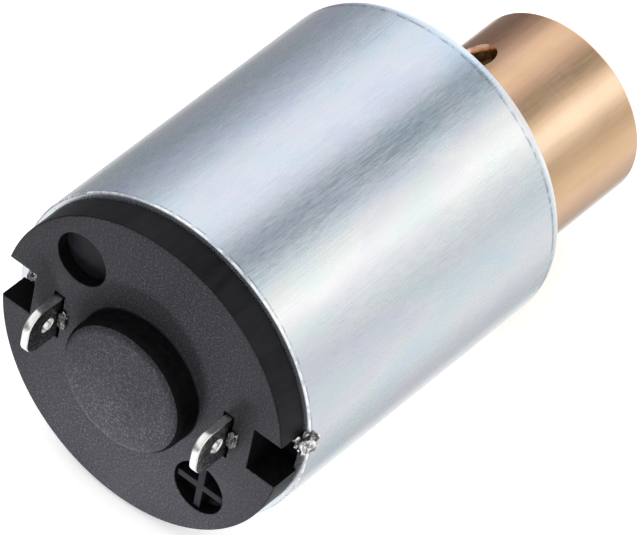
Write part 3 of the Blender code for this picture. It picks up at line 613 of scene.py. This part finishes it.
def crumple(name, centre, size, seed, finish, node_name="can"):
    """A block of pressed metal. Its faces are pushed in and out by noise, more at the corners."""
    shape = bmesh.new()
    bmesh.ops.create_cube(shape, size=2)
    bmesh.ops.subdivide_edges(shape, edges=shape.edges, cuts=9, use_grid_fill=True)
    for vert in shape.verts:
        way = vert.co.normalized()
        round_off = way.lerp(vert.co, 0.45)
        near = noise.noise(way * 1.6 + Vector((seed, 0, 0)))
        fine = noise.noise(round_off * 2.2 + Vector((0, seed, 0)))
        swell = 1.0 + 0.20 * near + 0.24 * fine
        vert.co = Vector([centre[i] + size[i] / 2 * round_off[i] * swell for i in range(3)])
    each_way = {"use_axis_x": True, "use_axis_y": True, "use_axis_z": True}
    bmesh.ops.smooth_vert(shape, verts=shape.verts, factor=0.35, **each_way)
    mesh = bpy.data.meshes.new(name)
    shape.to_mesh(mesh)
    shape.free()
    return place_piece(name, mesh, [finish], "stator", node_name, corner=14)


RIGHT_PLACE, RIGHT_SIZE = (rim_x, -11.9 * MM, 1.35 * MM), (1.6 * MM, 1.25 * MM, 1.7 * MM)
LEFT_PLACE, LEFT_SIZE = (rim_x + 0.2 * MM, 10.5 * MM, -1.2 * MM), (1.0 * MM, 1.9 * MM, 0.9 * MM)
crumple("crimp_right", RIGHT_PLACE, RIGHT_SIZE, 3.0, crumpled)
crumple("crimp_left", LEFT_PLACE, LEFT_SIZE, 8.0, crumpled)

# %% [markdown]
# ## The skins of one moulding
#
# The cap is black nylon from a steel mould. The mould's end was spark-eroded, so the face and the
# boss's top have a dry, dark grey grain. Its sides were ground, so the band and the boss's side come out
# smooth and nearly black. Each skin is its own finish, and a face of the moulding takes one or the
# other by the way it points. A third is a dull near-black copy of the nylon: painted shade, on the
# boss's side and in pockets that light hardly reaches.


# %% Make the moulded finishes
def grained_nylon():
    finish, tree, shader = new_finish("grained_nylon", 0.0, 0.62)
    shader.inputs["Specular IOR Level"].default_value = 0.18
    place = plain_place(tree)
    pits = grain(tree, place, (0.15 * MM,) * 3, detail=4, harsh=0.7)
    haze = grain(tree, place, (4 * MM,) * 3, detail=2)
    stops = [(0.32, (0.013, 0.013, 0.016)), (0.5, (0.022, 0.022, 0.027)), (0.68, (0.060, 0.060, 0.068))]
    colour = ramp(tree, pits, stops)
    colour = tint(tree, colour, ramp(tree, haze, [(0.3, 0.86), (0.7, 1.0)]))
    tree.links.new(colour, shader.inputs["Base Color"])
    tree.links.new(spread(tree, pits, 0.50, 0.72), shader.inputs["Roughness"])
    emboss(tree, shader, pits, 0.035 * MM)
    return finish


def smooth_nylon():
    finish, tree, shader = new_finish("smooth_nylon", 0.0, 0.38)
    shader.inputs["Specular IOR Level"].default_value = 0.12
    place = plain_place(tree)
    flow = grain(tree, place, (2.5 * MM, 0.8 * MM, 0.8 * MM), detail=3)
    colour = ramp(tree, flow, [(0.3, (0.005, 0.005, 0.007)), (0.7, (0.010, 0.010, 0.013))])
    tree.links.new(colour, shader.inputs["Base Color"])
    tree.links.new(spread(tree, flow, 0.32, 0.46), shader.inputs["Roughness"])
    emboss(tree, shader, grain(tree, place, (0.5 * MM,) * 3, detail=2), 0.006 * MM)
    return finish


def shade_painted_nylon():
    """A dull near-black copy of the nylon: painted shade on the boss's side and in notches, slots and
    recesses, where light hardly gets.
    """
    finish, tree, shader = new_finish("shade_painted_nylon", 0.0, 0.7)
    shader.inputs["Specular IOR Level"].default_value = 0.05
    scuffs = grain(tree, plain_place(tree), (0.4 * MM,) * 3, detail=3)
    colour = ramp(tree, scuffs, [(0.3, (0.0020, 0.0020, 0.0025)), (0.7, (0.0045, 0.0045, 0.0055))])
    tree.links.new(colour, shader.inputs["Base Color"])
    tree.links.new(spread(tree, scuffs, 0.6, 0.8), shader.inputs["Roughness"])
    emboss(tree, shader, scuffs, 0.01 * MM)
    return finish


nylon_skins = [grained_nylon(), smooth_nylon(), shade_painted_nylon()]
GRAINED, SMOOTH, SHADED_SKIN = range(3)


def skin_by_direction(mesh, outside=0.0):
    """Faces that point to the rear take the grain. Others are smooth, or take the painted shade inside a
    radius.
    """
    for face in mesh.polygons:
        side_skin = SHADED_SKIN if face.center.yz.length < outside else SMOOTH
        face.material_index = GRAINED if face.normal.x < -0.75 else side_skin


print("made", [skin.name for skin in nylon_skins])

# %% [markdown]
# ## The cap's outer plate
#
# A flat outline does this piece: a circle with a notch on each side, two round ejector recesses, two
# slots for the tags and a hole that the boss covers. The same outline serves again for the step that
# enters the can.

# %% Draw the cap's outline
NOTCH_FLOOR = 9.35 * MM
NOTCH_LOW = -1.5 * MM
NOTCH_HIGH = 2.1 * MM
CAP_EDGE = 0.13 * MM
RECESS_RADIUS = 2.0 * MM
RECESS_FLOOR = cap_face + 1.0 * MM
RECESS_MIDDLE = (band_radius - 3.2 * MM) * cos(radians(45))
TAG_Y = (tag_low.y + tag_high.y) / 2
BOSS_RADIUS = 5.0 * MM
SLOT_WIDTH = 0.8 * MM
SLOT_LENGTH = 3.8 * MM


def notched_circle(radius):
    """A circle (y, z) with the two notches taken out."""
    high = degrees(asin(NOTCH_HIGH / radius))
    low = degrees(asin(NOTCH_LOW / radius))
    over_top = arc((0, 0), radius, high, 180 - high, 96)
    under = arc((0, 0), radius, 180 - low, 360 + low, 96)
    left = [(-NOTCH_FLOOR, NOTCH_HIGH), (-NOTCH_FLOOR, NOTCH_LOW)]
    right = [(NOTCH_FLOOR, NOTCH_LOW), (NOTCH_FLOOR, NOTCH_HIGH)]
    return [*over_top, *left, *under, *right]


def slot_loop(side):
    middle, half_width, half_length = side * abs(TAG_Y), SLOT_WIDTH / 2, SLOT_LENGTH / 2
    return [
        (middle - half_width, -half_length), (middle + half_width, -half_length),
        (middle + half_width, half_length), (middle - half_width, half_length),
    ]


def mould_cap_plate():
    loops = [notched_circle(band_radius), arc((0, 0), BOSS_RADIUS - 0.4 * MM, 0, 355, 71)]
    for side in (-1, 1):
        loops.append(slot_loop(side))
        loops.append(arc((side * RECESS_MIDDLE, side * RECESS_MIDDLE), RECESS_RADIUS, 0, 355, 71))
    mesh = stamped_mesh("cap_plate", loops, cap_face, rim_x - 0.05 * MM, CAP_EDGE)
    # Walls inside this radius, in the notches, slots and recesses, take the painted shade copy.
    skin_by_direction(mesh, outside=band_radius - 0.3 * MM)
    return place_piece("cap_plate", mesh, nylon_skins, "stator", "end_cap")


mould_cap_plate()

# %% [markdown]
# ## The boss, the recess floors and the polarity mark
#
# The boss over the rear bearing is turned, with a soft edge round its top and a small fillet at its
# foot. The recesses are holes with a floor set behind them. A raised plus in one of them marks the
# positive tag, as on most small motors.


# %% Mould the boss
BOSS_WALL = 0.75 * MM
BEARING_BORE = 2.65 * MM


def boss_profile():
    fillet = 0.8 * MM
    foot = 0.2 * MM
    pocket = boss_top + BOSS_WALL
    return [
        (boss_top, 0),
        *reversed(arc((boss_top + fillet, BOSS_RADIUS - fillet), fillet, 90, 180, 8)),
        *arc((cap_face - foot, BOSS_RADIUS + foot), foot, 270, 360, 5),
        (cap_face + 4 * foot, BOSS_RADIUS + foot),
        (rim_x - 0.4 * MM, BOSS_RADIUS),
        (rim_x - 0.4 * MM, BEARING_BORE),
        (pocket, BEARING_BORE),
        (pocket, 0),
    ]


boss = turned_mesh("cap_boss", boss_profile(), closed=False)
# The boss's side and bore fall inside this radius and take the painted shade copy.
skin_by_direction(boss, outside=BOSS_RADIUS + 0.02 * MM)
place_piece("cap_boss", boss, nylon_skins, "stator", "end_cap")


# %% Set the recess floors
def recess_floor(name, side, skin):
    profile = [
        (RECESS_FLOOR, 0),
        (RECESS_FLOOR, RECESS_RADIUS + 0.05 * MM),
        (rim_x - 0.3 * MM, RECESS_RADIUS + 0.05 * MM),
        (rim_x - 0.3 * MM, 0),
    ]
    mesh = turned_mesh(name, profile, (side * RECESS_MIDDLE, side * RECESS_MIDDLE), 72, closed=False)
    return place_piece(name, mesh, [skin], "stator", "end_cap")


# The right recess floor takes the painted shade copy of the nylon; the left one is smooth nylon.
recess_floor("recess_floor_left", 1, nylon_skins[SMOOTH])
recess_floor("recess_floor_right", -1, nylon_skins[SHADED_SKIN])


# %% Raise the plus
PLUS_WIDTH = 0.54 * MM
PLUS_BELOW_FACE = 0.2 * MM


def polarity_plus():
    reach, half = RECESS_RADIUS - 0.1 * MM, PLUS_WIDTH / 2
    corners = []
    for quarter in range(4):
        turn = Matrix.Rotation(radians(90 * quarter), 2)
        for point in ((half, half), (half, reach), (-half, reach)):
            y, z = turn @ Vector(point)
            corners.append((y - RECESS_MIDDLE, z - RECESS_MIDDLE))
    top, foot = cap_face + PLUS_BELOW_FACE, RECESS_FLOOR + 0.3 * MM
    mesh = stamped_mesh("polarity_plus", [corners], top, foot, 0.05 * MM)
    return place_piece("polarity_plus", mesh, [nylon_skins[SMOOTH]], "stator", "end_cap")


polarity_plus()

# %% [markdown]
# ## The plug inside the can
#
# Behind the rim the cap narrows to slide into the can. Its first step keeps the notches, and the rest
# is a plain ring round the brush chamber.

# %% Mould the plug
PLUG_RADIUS = can_radius - CAN_WALL - 0.05 * MM
CHAMBER_RADIUS = NOTCH_FLOOR - 0.15 * MM
NOTCH_END = rim_x + 0.8 * MM


def mould_plug():
    loops = [notched_circle(PLUG_RADIUS), arc((0, 0), CHAMBER_RADIUS, 0, 357, 119)]
    step = stamped_mesh("plug_step", loops, rim_x - 0.2 * MM, NOTCH_END + 0.02 * MM, 0.02 * MM)
    # Faces inside this radius, in the notches, take the painted shade copy.
    skin_by_direction(step, outside=PLUG_RADIUS - 0.2 * MM)
    place_piece("plug_step", step, nylon_skins, "stator", "end_cap")
    chamfer = 0.3 * MM
    profile = [
        (NOTCH_END, CHAMBER_RADIUS),
        (NOTCH_END, PLUG_RADIUS),
        (plug_front - chamfer, PLUG_RADIUS),
        (plug_front, PLUG_RADIUS - chamfer),
        (plug_front, CHAMBER_RADIUS),
    ]
    ring = turned_mesh("plug_ring", profile)
    return place_piece("plug_ring", ring, [nylon_skins[SMOOTH]], "stator", "end_cap")


mould_plug()

# %% [markdown]
# ## The solder tags
#
# Each tag is blanked from strip, so its outline has a rounded tip and an eyelet, and its edges roll
# over a little. Hot tin then flows over it and gathers at the edges and the eyelet, which are bright.
# The flats take a darker, spotted copy of the tin: painted shade, where they face the black cap. So the
# faces of one mesh take two finishes.

# %% Make the tin and the tags
TAG_TIP_RADIUS = 1.3 * MM
EYELET_RADIUS = 0.55 * MM
EYELET_HEIGHT = 1.2 * MM


def tinned():
    finish, tree, shader = new_finish("tinned", 1.0, 0.14)
    place = plain_place(tree)
    flow = grain(tree, place, (1.1 * MM, 0.5 * MM, 0.8 * MM), detail=2)
    stops = [(0.3, (0.86, 0.85, 0.84)), (0.55, (0.98, 0.98, 0.97)), (0.7, (0.90, 0.91, 0.92))]
    colour = ramp(tree, flow, stops)
    tree.links.new(colour, shader.inputs["Base Color"])
    tree.links.new(spread(tree, flow, 0.22, 0.34), shader.inputs["Roughness"])
    emboss(tree, shader, flow, 0.03 * MM)
    return finish


def shade_painted_tin():
    """The flats of a tag: the tin darkened as painted shade, and spotted with flux."""
    finish, tree, shader = new_finish("shade_painted_tin", 1.0, 0.3)
    place = plain_place(tree)
    spots = grain(tree, place, (0.22 * MM,) * 3, detail=3, harsh=0.6)
    stops = [
        (0.36, (0.09, 0.09, 0.09)), (0.52, (0.24, 0.23, 0.22)),
        (0.64, (0.45, 0.44, 0.42)), (0.72, (0.85, 0.83, 0.80)),
    ]
    tree.links.new(ramp(tree, spots, stops), shader.inputs["Base Color"])
    tree.links.new(spread(tree, spots, 0.4, 0.2), shader.inputs["Roughness"])
    emboss(tree, shader, spots, 0.06 * MM)
    return finish


tin_skins = [tinned(), shade_painted_tin()]


def stamp_tag(name, node_name):
    low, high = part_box(node_name)
    half = (high.z - low.z) / 2
    corner = half - TAG_TIP_RADIUS
    tip = low.x + TAG_TIP_RADIUS
    outline = [
        (high.x, -half), (high.x, half),
        *arc((tip, corner), TAG_TIP_RADIUS, 90, 180, 12),
        *arc((tip, -corner), TAG_TIP_RADIUS, 180, 270, 12),
    ]
    eyelet = arc((cap_face - EYELET_HEIGHT, 0), EYELET_RADIUS, 0, 348, 29)
    mesh = stamped_mesh(name, [outline, eyelet], low.y, high.y, 0.10 * MM, ACROSS_TAGS)
    # The flats take the darkened tin: painted shade.
    for face in mesh.polygons:
        face.material_index = 1 if abs(face.normal.y) > 0.9 else 0
    return place_piece(name, mesh, tin_skins, "stator", node_name)


stamp_tag("solder_tag_positive", "terminal_positive")
stamp_tag("solder_tag_negative", "terminal_negative")

# %% [markdown]
# ## The burrs beside the tags
#
# Each tag is locked by metal that a punch pushed over beside it. Such a burr has no drawn shape, so it
# is a crumpled lump of the darkened tin, painted shade like the flats, made with the same helper as the
# crimps.

# %% Add the burrs that lock the tags
BURR_SIZE = (0.6 * MM, 0.7 * MM, 1.4 * MM)
BURR_BESIDE_TAG = 0.7 * MM
for sign, side in (("positive", -1), ("negative", 1)):
    tag = f"terminal_{sign}"
    burr_place = (cap_face - 0.1 * MM, side * abs(TAG_Y) - BURR_BESIDE_TAG, 0.1 * MM)
    # The burrs take the darkened tin: painted shade.
    crumple(f"tag_burr_{sign}", burr_place, BURR_SIZE, 5.0 + side, tin_skins[1], tag)

# %% [markdown]
# ## The brass weight
#
# The weight is parted off from brass bar, drilled off-centre, and fixed to the shaft by staking through
# a cross hole in its thin side. It is turned round its own centre and not the shaft's, which is what
# makes the motor shake. Its skin keeps faint rings from the lathe, and its edges are broken. Like the
# can, it has a painted reflection, tints round it in BRASS_REFLECTION_BANDS, and they turn with the weight.


# %% Make the brass
WEIGHT_RADIUS = (weight_high.z - weight_low.z) / 2
WEIGHT_CENTRE = ((weight_low.y + weight_high.y) / 2, (weight_low.z + weight_high.z) / 2)


# Painted reflection: tints and shades round the weight that stand in for the room's bands of light.
BRASS_REFLECTION_BANDS = [
    (-20, (0.80, 0.54, 0.34)), (35, (0.70, 0.43, 0.27)), (50, (0.78, 0.44, 0.28)),
    (62, (0.78, 0.45, 0.30)), (75, (0.76, 0.49, 0.33)), (90, (0.83, 0.56, 0.36)),
    (100, (0.84, 0.54, 0.36)), (110, (0.90, 0.62, 0.39)), (118, (0.76, 0.53, 0.34)),
    (127, (0.79, 0.60, 0.42)), (136, (0.82, 0.60, 0.40)), (146, (0.78, 0.53, 0.32)),
    (160, (0.84, 0.57, 0.34)), (175, (0.82, 0.54, 0.35)), (186, (0.78, 0.50, 0.30)),
    (195, (0.62, 0.41, 0.28)), (230, (0.80, 0.54, 0.34)),
]
BRASS_ENDS = (0.80, 0.54, 0.34)


def turned_brass():
    finish, tree, shader = new_finish("turned_brass", 1.0, 0.22)
    place = unrolled_place(tree, WEIGHT_RADIUS, WEIGHT_CENTRE)
    tarnish = grain(tree, place, (5 * MM, 4 * MM, 5 * MM), detail=2.5)
    colour = ramp(tree, tarnish, [(0.3, (0.92, 0.92, 0.90)), (0.5, (0.97, 0.96, 0.97)), (0.7, 1.0)])
    # Painted reflection bands round the weight's wall.
    colour = tint(tree, colour, round_bands(tree, place, WEIGHT_RADIUS, BRASS_REFLECTION_BANDS, BRASS_ENDS))
    rings = grain(tree, place, (0.09 * MM, 6 * MM, 0.09 * MM), detail=2)
    rubs = grain(tree, place, (3 * MM, 0.22 * MM, 3 * MM), detail=3, lean=4)
    marks = calc(tree, "MULTIPLY_ADD", rings, 0.3, calc(tree, "MULTIPLY", rubs, 0.7))
    colour = tint(tree, colour, ramp(tree, marks, [(0.35, 0.955), (0.65, 1.0)]))
    tree.links.new(colour, shader.inputs["Base Color"])
    tree.links.new(spread(tree, marks, 0.15, 0.24), shader.inputs["Roughness"])
    emboss(tree, shader, marks, 0.004 * MM)
    return finish


def shade_painted_brass():
    """The raw wall of the staking hole, darkened to brown as painted shade."""
    finish, tree, shader = new_finish("shade_painted_brass", 1.0, 0.4)
    hole_mottle = grain(tree, plain_place(tree), (0.5 * MM,) * 3, detail=3)
    stops = [(0.3, (0.10, 0.06, 0.03)), (0.5, (0.24, 0.15, 0.07)), (0.7, (0.40, 0.27, 0.13))]
    colour = ramp(tree, hole_mottle, stops)
    tree.links.new(colour, shader.inputs["Base Color"])
    tree.links.new(spread(tree, hole_mottle, 0.35, 0.5), shader.inputs["Roughness"])
    emboss(tree, shader, hole_mottle, 0.02 * MM)
    return finish


brass_skins = [turned_brass(), shade_painted_brass()]

# %% Turn and drill the weight
STAKE_RADIUS = 1.55 * MM
STAKE_LIP = 0.10 * MM
STAKE_SIDE = radians(57)
STAKE_FROM_BACK = 5.7 * MM
STAKE_BOTTOM = 2.05 * MM
STAKE_CONE = 0.5 * MM
WEIGHT_EDGE = 0.25 * MM
WEIGHT_BORE = 1.05 * MM


def stake_drill():
    """A drill towards the shaft through the thin wall, with a cone that breaks the hole's edge."""
    towards = (cos(STAKE_SIDE), sin(STAKE_SIDE))
    across = WEIGHT_CENTRE[0] * towards[1] - WEIGHT_CENTRE[1] * towards[0]
    along = WEIGHT_CENTRE[0] * towards[0] + WEIGHT_CENTRE[1] * towards[1]
    surface = along + (WEIGHT_RADIUS**2 - across**2) ** 0.5
    profile = [
        (STAKE_BOTTOM, 0),
        (STAKE_BOTTOM + STAKE_CONE, STAKE_RADIUS),
        (surface - 0.45 * MM, STAKE_RADIUS),
        (surface + 0.1 * MM, STAKE_RADIUS + 2 * STAKE_LIP),
        (surface + 2 * MM, STAKE_RADIUS + 2 * STAKE_LIP),
        (surface + 2 * MM, 0),
    ]
    drill = turned_mesh("stake_drill", profile, steps=96, closed=False)
    outwards = Matrix.Rotation(STAKE_SIDE, 4, "X") @ Matrix.Rotation(radians(90), 4, "Z")
    drill.transform(Matrix.Translation((weight_low.x + STAKE_FROM_BACK, 0, 0)) @ outwards)
    return drill


def turn_weight():
    edge = WEIGHT_EDGE
    profile = [
        (weight_high.x, 0),
        *arc((weight_high.x - edge, WEIGHT_RADIUS - edge), edge, 0, 90, 4),
        *arc((weight_low.x + edge, WEIGHT_RADIUS - edge), edge, 90, 180, 4),
        (weight_low.x, 0),
    ]
    blank = turned_mesh("weight_shell", profile, WEIGHT_CENTRE, closed=False)
    back, front = weight_low.x - 10 * MM, weight_high.x + 10 * MM
    bore = [(back, 0), (back, WEIGHT_BORE), (front, WEIGHT_BORE), (front, 0)]
    reamer = turned_mesh("weight_bore", bore, steps=64, closed=False)
    mesh = cut_mesh(blank, [reamer, stake_drill()])
    for face in mesh.polygons:
        y, z = face.center.y - WEIGHT_CENTRE[0], face.center.z - WEIGHT_CENTRE[1]
        from_end = min(face.center.x - weight_low.x, weight_high.x - face.center.x)
        drilled = hypot(y, z) < WEIGHT_RADIUS - 0.3 * MM and from_end > 0.5 * MM
        # Faces inside the holes take the darkened brass: painted shade.
        face.material_index = 1 if drilled else 0
    return place_piece("weight_shell", mesh, brass_skins, "rotor", "eccentric_weight")


turn_weight()

# %% [markdown]
# ## The shaft
#
# The shaft is a ground steel pin with slightly rounded ends. Grinding leaves very fine rings round it.


# %% Grind the shaft
def ground_steel():
    finish, tree, shader = new_finish("ground_steel", 1.0, 0.2)
    place = unrolled_place(tree, shaft_high.z)
    rings = grain(tree, place, (0.04 * MM, 2 * MM, 0.04 * MM), detail=3)
    colour = ramp(tree, rings, [(0.3, (0.48, 0.49, 0.51)), (0.7, (0.66, 0.67, 0.69))])
    tree.links.new(colour, shader.inputs["Base Color"])
    tree.links.new(spread(tree, rings, 0.14, 0.28), shader.inputs["Roughness"])
    emboss(tree, shader, rings, 0.002 * MM)
    return finish


steel = ground_steel()


def grind_shaft():
    radius, edge = shaft_high.z, 0.2 * MM
    profile = [
        (shaft_high.x, 0),
        *arc((shaft_high.x - edge, radius - edge), edge, 0, 90, 5),
        *arc((shaft_low.x + edge, radius - edge), edge, 90, 180, 5),
        (shaft_low.x, 0),
    ]
    mesh = turned_mesh("shaft_pin", profile, steps=64, closed=False)
    return place_piece("shaft_pin", mesh, [steel], "rotor", "shaft")


grind_shaft()

# %% [markdown]
# ## The parts inside
#
# The frame's own solids stay for what the can hides: magnets, windings, commutator, brushes, bearings
# and washers. They still get true finishes, because a model is also looked at in pieces. Most of them
# are a body colour with grain of its own size, so one recipe with named settings makes them.


# %% One recipe for simple finishes
def grained_finish(name, dark, light, metallic, rough, size, depth, place_for=plain_place, detail=3.0):
    """A surface between two colours. rough is (least, most), and size and depth are the grain's."""
    finish, tree, shader = new_finish(name, metallic, sum(rough) / 2)
    place = place_for(tree)
    fine = grain(tree, place, size, detail=detail)
    broad = grain(tree, place, tuple(12 * s for s in size), detail=2)
    colour = ramp(tree, fine, [(0.32, dark), (0.68, light)])
    colour = tint(tree, colour, ramp(tree, broad, [(0.3, 0.82), (0.7, 1.0)]))
    tree.links.new(colour, shader.inputs["Base Color"])
    tree.links.new(spread(tree, fine, *rough), shader.inputs["Roughness"])
    emboss(tree, shader, fine, depth)
    return finish


def round_shaft(tree):
    return unrolled_place(tree, 4 * MM)


EVEN = (0.12 * MM,) * 3
RECIPES = {
    "ferrite": [(0.030, 0.031, 0.034), (0.085, 0.086, 0.092), 0.3, (0.45, 0.7), EVEN, 0.02 * MM],
    "sintered_bronze": [(0.28, 0.17, 0.08), (0.66, 0.46, 0.25), 1.0, (0.3, 0.6), EVEN, 0.03 * MM],
    "spring_bronze": [
        (0.62, 0.38, 0.20), (0.84, 0.56, 0.34), 1.0, (0.18, 0.34), (0.05 * MM, MM, MM), 0.003 * MM
    ],
    "carbon": [
        (0.018, 0.018, 0.019), (0.060, 0.060, 0.062), 0.25, (0.4, 0.7), (0.08 * MM,) * 3, 0.015 * MM
    ],
    "fibre": [
        (0.07, 0.22, 0.13), (0.16, 0.42, 0.27), 0.0, (0.5, 0.75), (0.1 * MM, 0.1 * MM, 1.2 * MM), 0.01 * MM
    ],
    "phenolic": [(0.12, 0.055, 0.03), (0.27, 0.14, 0.075), 0.0, (0.3, 0.5), EVEN, 0.008 * MM],
    "white_nylon": [(0.72, 0.71, 0.66), (0.86, 0.85, 0.81), 0.0, (0.35, 0.55), EVEN, 0.006 * MM],
    "ceramic": [(0.08, 0.09, 0.10), (0.19, 0.20, 0.22), 0.0, (0.5, 0.7), (0.07 * MM,) * 3, 0.01 * MM],
    "bar_copper": [
        (0.60, 0.27, 0.15), (0.90, 0.52, 0.36), 1.0, (0.16, 0.36), (0.05 * MM, 3 * MM, 0.05 * MM),
        0.004 * MM, round_shaft,
    ],
    "spring_wire": [
        (0.42, 0.43, 0.45), (0.66, 0.67, 0.70), 1.0, (0.16, 0.3), (1.5 * MM, 0.05 * MM, 0.05 * MM),
        0.003 * MM,
    ],
}
inside_finishes = {name: grained_finish(name, *recipe) for name, recipe in RECIPES.items()}
print("made", len(inside_finishes), "inside finishes")

# %% [markdown]
# ## Laminations and windings
#
# Two inside finishes have a regular build. The iron core is a stack of thin sheets, so dark varnish
# lines repeat along the shaft. A coil is many turns of enamelled wire side by side, so its relief is a
# row of half-round ridges along the wire's direction, and each ridge's sides and the valleys between
# them are darkened as painted shade.


# %% Stack the sheets and wind the wire
def ridges(tree, place, pitch, direction="X"):
    """Half-round ridges that repeat each pitch along one direction, from 0 to 1."""
    scaled = node(tree, "ShaderNodeMapping", {"Vector": place, "Scale": (1 / pitch,) * 3}).outputs[0]
    along = node(tree, "ShaderNodeSeparateXYZ", {0: scaled}).outputs[direction]
    saw = calc(tree, "PINGPONG", along, 0.5)
    return calc(tree, "SQRT", calc(tree, "MULTIPLY", saw, 2.0))


def laminated_iron():
    finish, tree, shader = new_finish("laminated_iron", 1.0, 0.4)
    place = plain_place(tree)
    sheets = ridges(tree, place, 0.5 * MM)
    fleck = grain(tree, place, (0.3 * MM, 0.08 * MM, 0.08 * MM))
    stops = [(0.05, (0.05, 0.04, 0.035)), (0.35, (0.30, 0.30, 0.32)), (1.0, (0.42, 0.43, 0.45))]
    colour = tint(tree, ramp(tree, sheets, stops), ramp(tree, fleck, [(0.3, 0.75), (0.7, 1.0)]))
    tree.links.new(colour, shader.inputs["Base Color"])
    tree.links.new(spread(tree, fleck, 0.3, 0.5), shader.inputs["Roughness"])
    emboss(tree, shader, calc(tree, "MINIMUM", sheets, 0.6), 0.03 * MM)
    return finish


def enamelled_wire():
    finish, tree, shader = new_finish("enamelled_wire", 0.85, 0.25)
    place = plain_place(tree)
    y_and_z = node(tree, "ShaderNodeVectorMath", {0: place, 1: (0, 1, 1)}, operation="MULTIPLY").outputs[0]
    out = node(tree, "ShaderNodeVectorMath", {0: y_and_z}, operation="LENGTH").outputs["Value"]
    layers = ridges(tree, node(tree, "ShaderNodeCombineXYZ", {"X": out}).outputs[0], 0.22 * MM)
    age = grain(tree, place, (0.9 * MM,) * 3)
    colour = ramp(tree, age, [(0.3, (0.46, 0.15, 0.05)), (0.7, (0.74, 0.30, 0.12))])
    # Painted shade: each ridge's sides and the valleys between turns darken to a quarter.
    colour = tint(tree, colour, ramp(tree, layers, [(0.1, 0.25), (0.7, 1.0)]))
    tree.links.new(colour, shader.inputs["Base Color"])
    shader.inputs["Coat Weight"].default_value = 0.6
    shader.inputs["Coat Roughness"].default_value = 0.12
    tree.links.new(spread(tree, age, 0.2, 0.34), shader.inputs["Roughness"])
    emboss(tree, shader, layers, 0.08 * MM)
    return finish


inside_finishes["laminated_iron"] = laminated_iron()
inside_finishes["enamelled_wire"] = enamelled_wire()

# %% Hand the finishes out
SIGNS = ("positive", "negative")
INSIDE_PARTS = {
    "ferrite": ["magnet_upper", "magnet_lower"],
    "spring_wire": ["magnet_spring_left", "magnet_spring_right"],
    "sintered_bronze": ["front_bearing", "rear_bearing"],
    "spring_bronze": [f"brush_{part}_{sign}" for part in ("foot", "arm") for sign in SIGNS],
    "carbon": [f"carbon_brush_{sign}" for sign in SIGNS],
    "laminated_iron": ["armature_core"],
    "fibre": ["insulator_front", "insulator_rear"],
    "enamelled_wire": ["winding_1", "winding_2", "winding_3"],
    "phenolic": ["commutator_hub"],
    "bar_copper": ["commutator_bar_1", "commutator_bar_2", "commutator_bar_3"],
    "ceramic": ["varistor_ring"],
    "white_nylon": ["spacer_sleeve", "thrust_washer_front", "thrust_washer_rear"],
}


def finish_inside():
    for finish_name, part_names in INSIDE_PARTS.items():
        for part_name in part_names:
            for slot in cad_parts[part_name].material_slots:
                slot.material = inside_finishes[finish_name]
    print("finished", sum(len(names) for names in INSIDE_PARTS.values()), "inside parts")


finish_inside()

# %% [markdown]
# ## The end
#

# %% End
print("scene done")
